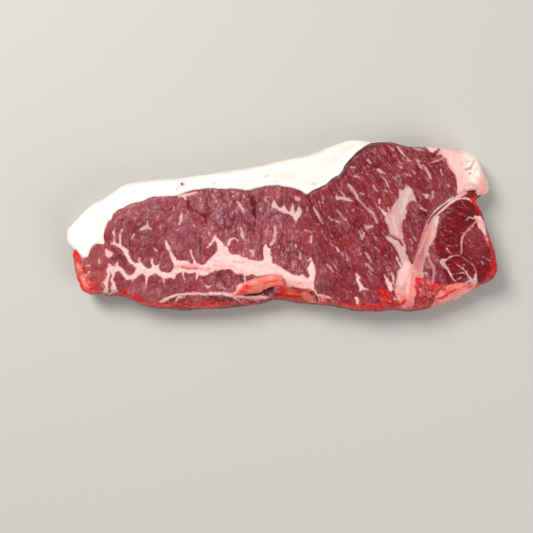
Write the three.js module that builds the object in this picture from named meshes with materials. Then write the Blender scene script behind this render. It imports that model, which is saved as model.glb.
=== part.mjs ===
// A raw boneless sirloin (strip loin) steak, lying flat: one solid slab of meat.
// Millimetres, +Z up. The steak lies along X, its fat cap towards +Y and its trimmed chine side
// towards -Y. The origin is on the underside, at the centre of the bounding box.
//
// The slab is a sheet of cells stretched inside the outline. Each point of the sheet is lifted
// to the cut face, which swells over the muscles, sinks along the seams and rounds off at the rim.
import * as THREE from "three";

// Driving dimensions.
const FACE_HEIGHT = 18; // the cut face above the board, before swells and grooves
const UNDERSIDE_ROUND = 3; // how far in from the rim the underside lifts off the board
const UNDERSIDE_LIFT = 2.6; // height of the rim's lower edge
const RIM_ROUNDNESS = 1.8; // exponent of the rim's profile: 2 is an ellipse, less is a slant
const WALL_BULGE = 0.5; // how far the side swells out half way up

// The sheet of cells. Its rows lie close together at both rims.
const SHEET_LENGTH = 228; // rough length and width, of which the rows' places are shares
const SHEET_WIDTH = 80;
const CELLS_ALONG = 90;
const CELLS_ACROSS = 36;
const RIM_STEPS = [0, 0.3, 1.1, 2.2, 3.6, 5.4]; // distances of the first rows from the rim
const RIM_ROWS = RIM_STEPS.length - 1;
const SAMPLES_PER_POINT = 12; // of a curve, for each of its points

// The outline, seen from above, as four edges that run clockwise round the steak. A point is
// [x, y, slope, lip]: slope is how far in the side runs before it reaches the cut face, and lip
// is the height at which the side starts to turn inwards.
const FAT_EDGE = [
  [-115.5, -1.5, 4.5, 8],
  [-113, 1, 4.5, 8],
  [-106.5, 7.5, 4.5, 9],
  [-100.5, 12.3, 4, 9],
  [-96.5, 13.8, 4, 9],
  [-90.5, 18.3, 4, 10],
  [-83.5, 22.3, 4, 10],
  [-70, 24, 4, 11],
  [-50, 26.3, 4, 11],
  [-20, 30.3, 4, 11],
  [5, 36, 4, 10],
  [14, 37.8, 4, 9],
  [26, 42.3, 4, 8],
  [34, 45.8, 3.5, 8],
  [41, 46.5, 3.5, 8],
  [49, 45.4, 3.5, 8],
  [56.5, 45.3, 3.5, 9],
  [68.5, 42.5, 3.5, 10],
  [76.5, 41.8, 3.5, 10],
  [84.5, 42, 3.5, 9],
  [96.5, 40.3, 5, 9],
];
const LOBE_EDGE = [
  [105, 37, 5.5, 8],
  [108.5, 30, 5, 7],
  [110.5, 26, 4.5, 5],
  [113.2, 20, 4, 4],
  [110, 17.2, 3.5, 4],
  [106, 15.3, 3, 4],
  [104.5, 12.8, 3, 6],
  [107.5, 8, 3, 7],
  [110, -1.5, 3, 7],
  [114, -12.5, 4, 6],
  [116.4, -21.5, 4.5, 5],
  [115.5, -27, 4.5, 5],
];
const CHINE_EDGE = [
  [112.5, -30, 5, 4],
  [102.5, -35, 8, 4],
  [93.5, -40.5, 10, 4],
  [82.5, -44, 8, 4],
  [68.5, -46.2, 5, 5],
  [60.5, -45.6, 5, 5],
  [52.5, -46.6, 5, 5],
  [38.5, -45.6, 5, 5],
  [24.5, -43.1, 6, 5],
  [13.5, -42.1, 8, 5],
  [-1.5, -39.9, 7, 5],
  [-11.5, -42.1, 8, 4],
  [-29.5, -44.4, 8, 4],
  [-51.5, -45.8, 9, 4],
  [-65.5, -45.1, 7, 4],
  [-77.5, -42.1, 5, 4],
  [-87.5, -37.8, 4, 5],
  [-90.5, -37.2, 3.5, 5],
  [-93.5, -38.6, 3.5, 5],
  [-96.5, -36.8, 3.5, 5],
  [-100, -36.8, 4, 4],
];
const TAIL_EDGE = [
  [-105.5, -35.2, 4.5, 4],
  [-108.5, -31, 5, 4],
  [-110.5, -25.5, 5, 4],
  [-111.7, -20, 5, 4],
  [-112.3, -15.5, 4.5, 5],
  [-116.2, -10.5, 4.5, 7],
  [-116.6, -5, 4.5, 8],
];

// Where the fat cap meets the lean. The cap lies a little below the lean, and at its thick end,
// where it has shrunk back, the side of the lean shows above it.
const CAP_LINE = [
  [-104, -16],
  [-98, -9],
  [-94.5, 1],
  [-88, 9],
  [-68, 15],
  [-42, 19],
  [-18, 18.5],
  [-4, 20.5],
  [13.5, 16],
  [26, 23.5],
  [34, 32],
  [44, 40],
  [60, 45],
];
const CAP_DROP = { thin: 0.6, thick: 4.4, fromX: 4, toX: 38 };
const CAP_STEP = 3.4; // the width over which the face drops from the lean to the cap

// Swells of the muscles and of the thick fat, and places where the steak thins:
// [x, y, reach along X, reach along Y, rise].
const SWELLS = [
  [-30, 3, 46, 17, 1.6], // the eye of the loin
  [-74, -6, 18, 16, 0.9],
  [-50, -32, 32, 6, -0.6],
  [-22, -20, 22, 5, 0.7], // the thick seam through the middle
  [-9, -31, 10, 4, 1.4], // fat folded over the chine side
  [44, -14, 22, 24, 1.2],
  [66, 24, 24, 14, 1.3],
  [96, -10, 12, 17, 1],
  [98, 29, 8, 9, 1.2], // the round lobe of fat
  [-104, -24, 7, 10, -1.6], // the thin tail
  [-110, 2, 9, 9, -2.2],
  [113, 20, 5.5, 4.5, -8], // a ragged flap of tissue
  [23, -40.5, 2.8, 2.8, 1.2], // the end of a vein
  [33, -40, 5, 2.8, -1],
  // Crags and clots along the ragged chine side.
  [50, -41, 3.2, 3.2, -1.4],
  [56.5, -37, 4, 4, 1.2],
  [64, -40.5, 3.6, 4, -2],
  [71, -38, 4.4, 3.6, 1],
  [79, -32.5, 5.5, 2.8, 1.5],
  [86, -37, 4, 3, -1.8],
  [94.5, -34.5, 6, 3.2, 1],
  [103, -30, 4, 3, -1.2],
];

// Seams where the muscles part, as paths of [x, y] with a depth and a half-width.
const GROOVES = [
  { depth: 2.4, width: 2.2, path: [[79, 1], [85, 8], [93, 13.5], [99, 16.5], [107, 15]] },
  { depth: 0.7, width: 3, path: [[14.5, 15], [19, 5], [22.5, -10], [23.5, -27], [19, -40]] },
  { depth: 4, width: 2.8, path: [[-17, -37.5], [-9, -35.5], [-2, -33.5], [4, -34.5]] },
  { depth: 1.4, width: 2.4, path: [[-97, -10], [-95, -19], [-96, -28], [-93, -37]] },
  { depth: 1.4, width: 2.6, path: [[79, 34.5], [83, 35], [88, 37.5]] },
  { depth: 1.2, width: 2.6, path: [[60, -32], [64, -39], [66, -45]] },
];

const smoothstep = (t) => {
  const s = Math.min(1, Math.max(0, t));
  return s * s * (3 - 2 * s);
};

// A smooth curve through rows of two or four numbers, as finely sampled rows of four.
function sampleRows(rows, closed = false) {
  const curve = (first) => {
    const points = rows.map((row) => new THREE.Vector3(row[first] ?? 0, row[first + 1] ?? 0, 0));
    return new THREE.CatmullRomCurve3(points, closed, "catmullrom");
  };
  const [places, sides] = [curve(0), curve(2)];
  const steps = (closed ? rows.length : rows.length - 1) * SAMPLES_PER_POINT;
  return Array.from({ length: steps + 1 }, (_, i) => {
    const place = places.getPoint(i / steps);
    const side = sides.getPoint(i / steps);
    return [place.x, place.y, side.x, side.y];
  });
}

// The nearest point of sampled rows to (x, y): its distance, its row, with the columns worked
// out between the samples, and its side, which is 1 to the left of the path and -1 to its right.
function nearest(rows, x, y) {
  let best = { distance: Infinity };
  for (let i = 0; i + 1 < rows.length; i += 1) {
    const [a, b] = [rows[i], rows[i + 1]];
    const [ex, ey] = [b[0] - a[0], b[1] - a[1]];
    const [px, py] = [x - a[0], y - a[1]];
    const share = Math.min(1, Math.max(0, (px * ex + py * ey) / (ex * ex + ey * ey || 1)));
    const distance = Math.hypot(px - share * ex, py - share * ey);
    if (distance < best.distance) {
      const row = a.map((value, k) => value + share * (b[k] - value));
      best = { distance, row, side: Math.sign(ex * py - ey * px) };
    }
  }
  return best;
}

const outline = sampleRows([...FAT_EDGE, ...LOBE_EDGE, ...CHINE_EDGE, ...TAIL_EDGE], true);
const capLine = sampleRows(CAP_LINE);
const grooves = GROOVES.map((groove) => ({ ...groove, rows: sampleRows(groove.path) }));

// Height of the cut face, away from the rim.
function faceHeight(x, y) {
  let height = FACE_HEIGHT;
  for (const [cx, cy, reachX, reachY, rise] of SWELLS) {
    height += rise * Math.exp(-(((x - cx) / reachX) ** 2) - ((y - cy) / reachY) ** 2);
  }
  for (const { depth, width, rows } of grooves) {
    height -= depth * Math.exp(-((nearest(rows, x, y).distance / width) ** 2));
  }
  const cap = nearest(capLine, x, y);
  if (cap.side > 0) {
    const { thin, thick, fromX, toX } = CAP_DROP;
    const drop = thin + (thick - thin) * smoothstep((x - fromX) / (toX - fromX));
    height -= drop * smoothstep(cap.distance / CAP_STEP);
  }
  return height;
}

// Share of the full height that the rim's profile reaches at a share t of its slope.
const rimProfile = (t) => {
  const left = 1 - Math.min(1, Math.max(0, t));
  return (1 - left ** RIM_ROUNDNESS) ** (1 / RIM_ROUNDNESS);
};

// Heights of the upper and lower surface over a point of the sheet.
function surfaceHeights(x, y) {
  const rim = nearest(outline, x, y);
  const [, , slope, lip] = rim.row;
  const upper = lip + (faceHeight(x, y) - lip) * rimProfile(rim.distance / slope);
  const lower = UNDERSIDE_LIFT * (1 - rimProfile(rim.distance / UNDERSIDE_ROUND));
  return { upper, lower };
}

// Shares of the way over the sheet at which its rows lie: close together at both rims.
function rowShares(cells, width) {
  const rim = RIM_STEPS.map((step) => step / width);
  const inner = cells - 2 * RIM_ROWS;
  const start = rim[RIM_ROWS];
  const middle = Array.from({ length: inner - 1 }, (_, i) => start + ((1 - 2 * start) * (i + 1)) / inner);
  return [...rim, ...middle, ...rim.map((share) => 1 - share).reverse()];
}

// Points of the outline between two of its sampled rows, at the given shares of their length.
function edgePoints(first, last, shares) {
  const points = outline.slice(first, last + 1).map(([x, y]) => new THREE.Vector2(x, y));
  const path = new THREE.Path();
  path.curves = points.slice(1).map((point, i) => new THREE.LineCurve(points[i], point));
  return shares.map((share) => path.getPoint(share));
}

// The sheet's points, sheet[i][j], with i along the steak and j from the chine side to the cap:
// the blend of the four edges that meets each of them.
function stretchSheet() {
  const counts = [FAT_EDGE, LOBE_EDGE, CHINE_EDGE, TAIL_EDGE].map((edge) => edge.length);
  const ends = counts.map((_, k) => counts.slice(0, k + 1).reduce((a, b) => a + b) * SAMPLES_PER_POINT);
  const along = rowShares(CELLS_ALONG, SHEET_LENGTH);
  const across = rowShares(CELLS_ACROSS, SHEET_WIDTH);
  const reversed = (shares) => shares.map((share) => 1 - share);
  const cap = edgePoints(0, ends[0], along);
  const lobe = edgePoints(ends[0], ends[1], reversed(across));
  const chine = edgePoints(ends[1], ends[2], reversed(along));
  const tail = edgePoints(ends[2], ends[3], across);
  return along.map((u, i) =>
    across.map((v, j) => {
      const blend = (axis) =>
        (1 - v) * chine[i][axis] +
        v * cap[i][axis] +
        (1 - u) * tail[j][axis] +
        u * lobe[j][axis] -
        (1 - u) * ((1 - v) * tail[0][axis] + v * cap[0][axis]) -
        u * ((1 - v) * lobe[0][axis] + v * lobe[CELLS_ACROSS][axis]);
      return [blend("x"), blend("y")];
    }),
  );
}

// The index pairs (i, j) round a rectangle of the sheet, inset from its border, anticlockwise.
function ringOf(inset) {
  const [right, top] = [CELLS_ALONG - inset, CELLS_ACROSS - inset];
  const ring = [];
  for (let i = inset; i < right; i += 1) ring.push([i, inset]);
  for (let j = inset; j < top; j += 1) ring.push([right, j]);
  for (let i = right; i > inset; i -= 1) ring.push([i, top]);
  for (let j = top; j > inset; j -= 1) ring.push([inset, j]);
  return ring;
}

function steakGeometry() {
  const sheet = stretchSheet();
  const positions = [];
  const triangles = [];
  const addPoint = (x, y, z) => positions.push(x, y, z) / 3 - 1;
  // A quad is split along the diagonal whose ends differ less in height, so creases stay smooth.
  const addQuad = (a, b, c, d) => {
    const rise = (p, q) => Math.abs(positions[3 * p + 2] - positions[3 * q + 2]);
    const split = rise(a, c) < rise(b, d) ? [a, b, c, a, c, d] : [a, b, d, b, c, d];
    triangles.push(...split);
  };
  const rowsFromRim = (i, j) => Math.min(i, j, CELLS_ALONG - i, CELLS_ACROSS - j);

  const heights = sheet.map((column) => column.map(([x, y]) => surfaceHeights(x, y)));
  const upper = sheet.map((column, i) => column.map(([x, y], j) => addPoint(x, y, heights[i][j].upper)));
  const lower = sheet.map((column, i) =>
    column.map(([x, y], j) => (rowsFromRim(i, j) > RIM_ROWS ? null : addPoint(x, y, heights[i][j].lower))),
  );

  for (let i = 0; i < CELLS_ALONG; i += 1) {
    for (let j = 0; j < CELLS_ACROSS; j += 1) {
      addQuad(upper[i][j], upper[i + 1][j], upper[i + 1][j + 1], upper[i][j + 1]);
      if (rowsFromRim(i, j) < RIM_ROWS || rowsFromRim(i + 1, j + 1) < RIM_ROWS) {
        addQuad(lower[i][j], lower[i][j + 1], lower[i + 1][j + 1], lower[i + 1][j]);
      }
    }
  }

  // The flat underside, inside the rim.
  const floorRing = ringOf(RIM_ROWS);
  const floorPoints = floorRing.map(([i, j]) => new THREE.Vector2(...sheet[i][j]));
  for (const corners of THREE.ShapeUtils.triangulateShape(floorPoints, [])) {
    const [a, b, c] = corners.map((k) => lower[floorRing[k][0]][floorRing[k][1]]);
    triangles.push(a, c, b);
  }

  // The side, with one row of points half way up that stands a little proud.
  const rimRing = ringOf(0);
  const middle = rimRing.map(([i, j], k) => {
    const before = rimRing.at(k - 1);
    const after = rimRing[(k + 1) % rimRing.length];
    const [ax, ay] = sheet[before[0]][before[1]];
    const [bx, by] = sheet[after[0]][after[1]];
    const outward = new THREE.Vector2(by - ay, ax - bx).setLength(WALL_BULGE);
    const [x, y] = sheet[i][j];
    return addPoint(x + outward.x, y + outward.y, (heights[i][j].upper + heights[i][j].lower) / 2);
  });
  rimRing.forEach(([i, j], k) => {
    const next = (k + 1) % rimRing.length;
    const [nextI, nextJ] = rimRing[next];
    addQuad(middle[k], middle[next], upper[nextI][nextJ], upper[i][j]);
    addQuad(lower[i][j], lower[nextI][nextJ], middle[next], middle[k]);
  });

  const geometry = new THREE.BufferGeometry();
  geometry.setAttribute("position", new THREE.Float32BufferAttribute(positions, 3));
  geometry.setIndex(triangles);
  return geometry;
}

// Moves a geometry so that its bounding box stands on z = 0, centred on the origin.
function standOnOrigin(geometry) {
  geometry.computeBoundingBox();
  const { min, max } = geometry.boundingBox;
  geometry.translate(-(min.x + max.x) / 2, -(min.y + max.y) / 2, -min.z);
  geometry.computeVertexNormals();
  return geometry;
}

const rawMeat = new THREE.MeshStandardMaterial({ color: 0x8c3a42, roughness: 0.45, metalness: 0 });
const steak = new THREE.Mesh(standOnOrigin(steakGeometry()), rawMeat);
steak.name = "steak";

const part = new THREE.Group();
part.add(steak);

export default part;
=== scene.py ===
"""A raw boneless sirloin steak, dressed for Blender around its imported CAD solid.

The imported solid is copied, remeshed to an even fine grid and carved: muscle seams, slits, the flap of
connective tissue, ragged cut edges and muscle grain are real relief. The same outlines and strands that
carve the relief say where fat, blood and lean lie, and the material turns them into colour, gloss and
fine grain. Lengths are millimetres in the part's own frame, unless a name says otherwise.
"""

import math

import bmesh
import bpy
import numpy as np
from mathutils import Euler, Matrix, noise


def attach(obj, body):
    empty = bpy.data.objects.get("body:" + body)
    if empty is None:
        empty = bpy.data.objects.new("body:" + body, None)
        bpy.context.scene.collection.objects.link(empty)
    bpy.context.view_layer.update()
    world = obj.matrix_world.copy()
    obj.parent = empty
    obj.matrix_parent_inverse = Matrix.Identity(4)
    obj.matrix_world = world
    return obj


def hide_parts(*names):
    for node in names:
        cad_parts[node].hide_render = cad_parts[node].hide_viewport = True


MM = 0.001
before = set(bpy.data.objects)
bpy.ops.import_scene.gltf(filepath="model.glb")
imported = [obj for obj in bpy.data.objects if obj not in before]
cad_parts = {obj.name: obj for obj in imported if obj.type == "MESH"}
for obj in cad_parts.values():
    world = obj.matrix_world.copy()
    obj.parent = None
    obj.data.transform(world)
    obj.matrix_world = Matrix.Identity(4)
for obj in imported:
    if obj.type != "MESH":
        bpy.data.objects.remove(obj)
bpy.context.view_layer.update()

# ---------------------------------------------------------------- sizes of the mesh and its relief
GRID = 0.56  # edge of one face of the even mesh
EVEN_PASSES = 22  # smoothing passes that take the CAD solid's facets away
SIDE_TRIANGLES = 21000  # the sides and the underside are thinned out to about so many
UNDERSIDE_TRIANGLES = 25000
HOLLOWS = 0.4  # depth of the underside's hollows
REACH = 6.0  # how far from an outline its distance is still measured
CURVE_STEP = 0.7  # spacing of points along a smoothed outline
THICKNESS = 19.6  # height of the steak
THINNER = 0.12  # how far the fat's edge stays inside its outlines
STRANDS_WIDER = 0.2  # how far the strands that join the seams spread beyond their width
FAINTER = 0.3  # how far the faint fibres stay inside theirs
MOST_RAGGED = 2.6  # the width above which a wash's edge gets no more ragged
WASH_WANDER = 0.3  # how far a wash's edge strays, next to its width
WASH_SOFTNESS = 0.6  # how wide a wash fades out, next to its width
BLOOD_SOFTNESS = 0.3
CAP_SOFTNESS = 1.0
PATTERN_WANDER = 3.2  # how far the pattern strays on its way down the sides
PATTERN_RIPPLE = 0.3  # how far it strays everywhere
WALL_BEGINS = 7  # how far below the cut face the raw side begins,
WALL_WHOLE = 11  # and from where on it is nothing else
FAT_DOWN_SIDE = 6  # how much further down the fat of the corner, the shelf and the bead reaches
NOT_ON_WALL = 9  # seams and flecks lie this much too deep to show on the raw side
LATTICE_SIDE = 32  # points along each side of the block of random values behind the noise
LATTICE_TURN = np.array(Euler((0.7, 0.5, 0.9)).to_matrix())  # keeps the block's own axes from showing

# Heights of the relief, and how wide its creases and slopes are.
BUNDLE_RISE = 0.13  # bundles of fibres
BUNDLE_SLOPE = 0.22  # their slopes, as a share of a bundle
CREASE_DEPTH = 0.08
CREASE_WIDTH = 0.15  # as a share of a bundle
GRAIN_RISE = 0.1  # fine unevenness of the lean
ROLL_RISE = 0.3  # broad swells of the cut face
LEAN_SWELL = (0.3, 1.3)  # the lean's rounded edge: its rise and its slope
FAT_SWELL = (0.22, 1.0)  # the same for the fat's
FLAP_RISE = 0.9  # the flap of connective tissue
CRAG_RISE = 0.9  # the raw, wet edges
FISSURE_DEPTH = 0.6  # a fissure's depth, next to that of a slit
BUMP_HEIGHT = 0.35  # relief too fine for the mesh

# ---------------------------------------------------------------- the flat map for baked patterns
MAP_NAME = "OFBake"
MAP_SCALE = 0.0041  # share of the map's width that a millimetre takes up
MAP_GAP = 0.008  # room left between the parts of the map
UNDERSIDE_SHARE = 0.75  # the underside's scale, next to that of the top
FACES_UP = 0.5  # from this rise of its normal on, a face belongs to the top, and likewise to the underside
STRIPS = 3  # the side is laid out in so many strips

# ---------------------------------------------------------------- colours, as seen in soft daylight
WHITE_FAT = (237, 234, 228)
CREAM_FAT = (242, 233, 216)
SHADED_FAT = (214, 204, 192)
FRINGE_PINK = (226, 196, 186)
BLUSH = (232, 204, 194)
SEAM_FAT = (250, 204, 197)
LOBE_FAT = (240, 194, 186)
GREY_FAT = (204, 170, 163)
PALE_FAT = (216, 190, 188)
PINK_FAT = (240, 150, 142)
SALMON_FAT = (238, 128, 114)
STRAND_FAT = (236, 197, 191)
PINK_EDGE = (211, 120, 118)
LEAN_LEFT = (138, 51, 62)
LEAN_MIDDLE = (148, 58, 69)
LEAN_RIGHT = (132, 37, 47)
LEAN_CORNER = (106, 10, 18)
LEAN_TAIL = (160, 62, 62)
# Paler grains in the lean: partly paler tissue, partly painted glints.
PALE_GRAIN_AND_GLINT = (198, 140, 140)
# Painted sheen: the colder colour of granular grains.
PAINTED_SHEEN_GRAIN = (180, 146, 159)
# The corner's paler grains: partly paler tissue, partly painted glints.
ROSE_GRAIN_AND_GLINT = (196, 112, 114)
CRIMSON = (136, 8, 26)
# Painted shade in the creases and fissures, partly their deeper red.
CREVICE_SHADE = (74, 2, 12)
# Painted sheen: the bluer lean where it is granular.
PAINTED_SHEEN_LEAN = (122, 56, 80)
CLOT_RED = (134, 0, 2)
PALE_TISSUE = (250, 104, 92)
VEIN_RED = (224, 40, 34)
# Painted shade inside the slits, partly the cut flesh's deeper red.
SLIT_SHADE_RED = (132, 12, 20)
# The band along the cap: membrane with painted shade, in two tones.
MEMBRANE_SHADE_BROWN = (88, 32, 31)
MEMBRANE_SHADE_PALE = (106, 50, 48)
RUST = (190, 26, 0)
SIDE_DARK = (92, 8, 18)
SIDE_RED = (186, 18, 26)
SKIN_PINK = (226, 140, 132)

# ---------------------------------------------------------------- how strongly the tints show
VEINS_SHOW = 0.55  # red veins in the flap and the corner's fat
SIDE_SHADE = 0.55  # the cap's side
BLUSH_SHOWS = 0.6  # the pink blush there
FRINGE_SHOWS = 0.7  # the cap's edge along the lean
SKIN_SHOWS = 0.75  # skin on the raw side
STRANDS_SHOW = 0.9  # flecks and fine marbling
# painted shade in the creases and fissures
CREVICE_SHADE_SHOWS = 0.8
# the painted cold sheen
PAINTED_SHEEN_SHOWS = 0.22
CRIMSON_SHOWS = 0.55
CLOTS_SHOW = 0.5
TUFTS_SHOW = 0.34
PINK_SHOWS = 0.4  # streaks and mottles in the fat
EDGE_SHOWS = 0.35  # the pinker edge of the seams

# Fine marbling: from which noise on it shows, from where on it is whole, and how strongly it shows.
SLIVERS = (0.645, 0.75, 0.0, 0.46)
TICKS = (0.62, 0.74, 0.0, 0.36)
DOTS = (0.675, 0.78, 0.0, 0.5)
# How far coarse and fine noise shift the edges of seams and flecks, and fine noise those of the cap.
SEAM_RAGGED = (1.5, 0.9)
FLECK_RAGGED = (1.1, 0.9)
CAP_RAGGED = 0.3
# The lean's pale grains, partly paler tissue and partly painted glints: how many there are, how unequal
# they are, and what each of the three muscles in the middle, on the right and in the corner adds to that.
PALENESS = (0.14, 0.02, -0.06, -0.115)
CONTRAST = (11.0, 3.0, 4.5, 5.0)
MOST_PALE = 0.8

# ---------------------------------------------------------------- how the meat catches the light
GLOSSY = 0.1  # the roughness of wet lean
GLOSS_VARIES = 0.22
CAP_DULLER = 0.22
SLITS_DULLER = 0.4
WET_GLOSSIER = 0.04
SHINE = 0.17
GLOW = 0.08  # the share of light that spreads under the surface,
GLOW_REACH = 1.2  # how far it spreads there,
GLOW_SPREADS = (1.0, 0.35, 0.25)  # and how far red, green and blue light does, next to that
# Fine relief, as shares of the bump's height.
FIBRES_RISE = 0.6
FIBRES_LOWER = 0.35  # how much less they rise on the raw side
GRAINS_RISE = 0.3
FAT_RISE = 0.42
RIPPLES_RISE = 0.16
TUFTS_RISE = 0.5

# ---------------------------------------------------------------- how outlines and strands are written
def path(text):
    """The points of a path, parted by spaces, each written as x,y or, along a strand, as x,y,width."""
    return [tuple(float(number) for number in point.split(",")) for point in text.split()]


def paths(text):
    """Several paths, parted by semicolons or the ends of lines."""
    return [path(part) for part in text.strip().replace("\n", ";").split(";")]


# ---------------------------------------------------------------- the fat cap along the upper side
CAP_EDGE = path("""
    -110.5,-15.3 -109,-15.3 -107.5,-16.8 -103.5,-17 -102.5,-14.5 -101.5,-12 -100,-10.2 -98.5,-9.8
    -94.7,-10 -94.8,-6 -94.2,-3 -93.3,0.5 -92,2.2 -90.7,3 -90.3,4.5 -89.5,6.2 -88,7.5 -85,8.9 -81,10.9
    -78,11.7 -74,12.7 -70,14.4 -68,15.1 -60,15.2 -55,15.8 -51,17.5 -48,18.2 -40,19.2 -24,18.9 -18.5,18.2
    -13,19.6 -7,20.6 -4,20.8 -1,20.6 5,19.5 10,17.8 12,16.8 13.3,16.5 14.5,17.2 16,18.4 18,19.3 22,21.2
    25,23.2 28,25.7 30,26.5 31.5,28 34,32.5 35.5,34.8 38,37 40,38.9 42.5,40.8 45,42.5 48,44 50,44.3
    55,45 58,44.8
""")
CAP_OUTSIDE = path("60,60 -130,60 -130,-15.3")
MEMBRANE_SHADE_EDGE = path("""
    57,43.6 53,42.6 50,41.8 47,40.1 44,38.3 41,35.6 38,33 36,31.2 34.5,28.3 33.5,26 31,24 28,23.2 25,22
    22,20.3 18,18.6 14.5,16.6
""")
MEMBRANE_SHADE_START = 13.3  # x where the cap's edge turns into the broad band of membrane and painted shade
SHADOW_RIM_START = -88  # x where the thin rim of painted shadow along the rest of the cap's edge begins
SHADOW_RIM_WIDTH = 0.75
SHADOW_RIM_STRENGTH = 0.75

# ---------------------------------------------------------------- seams of fat between the muscles
CENTRAL_SEAM_UPPER = path("""
    -76,-18.5 -73.5,-21 -71.5,-23 -69.5,-22 -69,-19.5 -67,-21.5 -65,-20.5 -65,-23 -63.5,-24.8
    -61.5,-25.3 -59,-24.8 -57.7,-22.5 -57,-19.5 -54,-18.8 -51,-18.8 -49.5,-19.5 -48,-20.7 -46,-19.5
    -43.5,-20.7 -42,-21 -40.5,-20.3 -39.5,-18.5 -37.5,-16.8 -36,-15.5 -34.8,-14 -34.5,-12 -35,-9.5
    -36,-8 -35.3,-4.5 -34.5,-6.5 -33,-8 -31.8,-9.2 -31,-10.5 -30,-11.3 -28.5,-10 -28.5,-13 -27,-15
    -25,-15.7 -23,-15.5 -21.5,-16.5 -17.5,-17.6 -15.5,-18.4 -13,-18.8 -11,-18.7 -10.2,-18.3 -10.1,-12
    -8.5,-9.8 -7.5,-11.5 -6.3,-13.3 -6,-15.5 -5.3,-17 -5.2,-19.7 -3,-20.8 1,-23.2 3,-24.8 5,-25.7
    8,-26.5 11.3,-26.3 12.7,-28 13.7,-28 14.2,-26.5 13.2,-23 14,-21.5 14.8,-19.5 15.5,-17 16.5,-19.5
    17.3,-21 17.7,-24 17.5,-28 17,-31 17.2,-33.5
""")
CENTRAL_SEAM_LOWER = path("""
    19.5,-40 18,-37 16,-35 14,-34.5 8,-33.3 3,-33 2,-31.5 0,-27.5 -10,-26.8 -13.5,-27.3 -16.5,-25.9
    -18,-27 -21,-26 -24,-25.8 -25.5,-25.3 -26.5,-24 -28.3,-23.5 -32,-23.8 -35,-24.5 -38,-25.5
    -40.5,-26.9 -44,-26.6 -46.5,-25.4 -48,-25.8 -51.5,-25.3 -54.5,-25.6 -56,-26.5 -57.5,-29 -59,-28.3
    -63.5,-28.5 -65.5,-27 -67,-26 -69.5,-26.8 -71,-28 -72.3,-33 -73,-28 -74,-26 -75.5,-25
""")
MIDDLE_SEAM = path("""
    65.3,22 66,20.8 68,19.8 69.5,18.5 70,16.5 70.5,14.5 71.3,12.3 69,13 67.5,12 66.5,10.5 66.3,8.5
    66.7,7 66,5 65.8,3.3 64.5,2.8 63.8,1.5 64,-5 64.7,-9 65.5,-12 66,-15 67,-17 69.3,-20.8 70,-18.6
    71.1,-15.2 72.8,-10 75.2,-2.2 76.8,1.2 80.2,6 83.8,5 83.4,2 82.4,-2.2 81.6,-6.5 80,-10 77.6,-12.6
    77.3,-16.5 76.2,-18.4 75.1,-20.8 74.9,-24.3 75.3,-27.8 73,-29.2 71.8,-32 71.2,-35 70.6,-38.5
    70.2,-42 68.5,-45.5 65,-46 63.5,-43 61.8,-40.3 60.6,-37.3 59.5,-34.7 59.8,-33 60.6,-27.7 61.5,-24.3
    63.4,-21.7 62.8,-18.2 61.5,-15 60,-12 58,-9.7 55,-7 53,-3.5 54.5,-5.3 56.5,-6 57.2,-4.8 57,-3 55.2,1
    54.5,3 55.5,5 57,6.5 58,8.5 59,11 60.3,13 61.8,15 62,17 62,19.2 63.5,18.8 65,19.6
""")
FLAP = path("""
    -26.4,-37.2 -24.9,-34.7 -23.9,-32.2 -21.5,-30.7 -18,-29.7 -14.6,-28.5 -10.6,-27.6 -7.8,-26.7
    -4.1,-26 -1,-26.7 0.5,-28.2 1.8,-30.4 2.7,-32.5 2.1,-34.1 0.9,-34.7 -1.6,-34.4 -4.1,-33.8 -4.7,-32.5
    -6.3,-32.7 -8.4,-34.1 -10.3,-35 -12.2,-35.9 -14.6,-36.4 -18,-36.6 -21.2,-37.2
""")
SHELF = path("""
    2.4,-33.4 6.7,-33.5 9.2,-34.4 12.9,-34.9 15.7,-34.6 16.4,-36.6 17.6,-38.7 19.1,-41.2 19,-43.5
    10,-43.5 2,-42 -4,-41 -5.3,-38.4 -4.7,-36.9 -2.5,-35
""")
TAIL_KNOT = path("-94,-12.5 -92,-13.5 -90,-14.7 -89.5,-15.5 -91,-17 -93,-17 -94.3,-15.5")
CORNER_FAT = path("""
    82.7,-36 87.5,-32 92.3,-30.8 98.3,-30.8 104.4,-31.2 107,-31.5 104,-37 98,-42 92,-45 86,-47 80,-46
    80,-41.6 81,-39
""")
LOBE = path("""
    85.6,36.6 86.6,35.2 87.2,33.6 87.8,31.6 88.8,30 90.4,28.2 91.6,26.2 92.4,23 92.8,19.5 93.3,16.4
    95.5,16.6 98,17.9 100.5,18.6 102.6,18.6 104.2,16.4 106.5,16 118,16 118,45 83,45 82.8,42 84.2,40
    83,38.6 84.4,37.6
""")
ZIGZAG = path("""
    -5.8,9 -5.4,11.5 -4.3,13.4 -3.3,11.8 -2.3,10 -0.5,9.2 0.9,10.7 1.6,9.5 2.4,8 3.6,7.4 4.6,9 5.8,12.4
    6.4,9.2 6.5,6.8 7.4,7.6 9,9.8 10,8.4 9.9,5 8.6,3.2 7.3,0.2 6.4,2.8 5.4,4.4 4,5.5 2,6.2 0,6.4
    -1.8,7.3 -3.8,8.4
""")
HOOK = path("28.5,17.5 30,15.2 34,15 37,14 37.8,12.8 34,13 30.5,13.3 28.8,13")
PATCH = path("73.5,17.2 75.3,16.6 77.5,16.5 78.5,15.5 76.5,13.8 75.3,15.2")
FREE_EDGE_PATCH = path("77.4,41.2 78.6,39.2 79.8,38.4 81.4,39.4 83.4,41 83,43 78,43")

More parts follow.
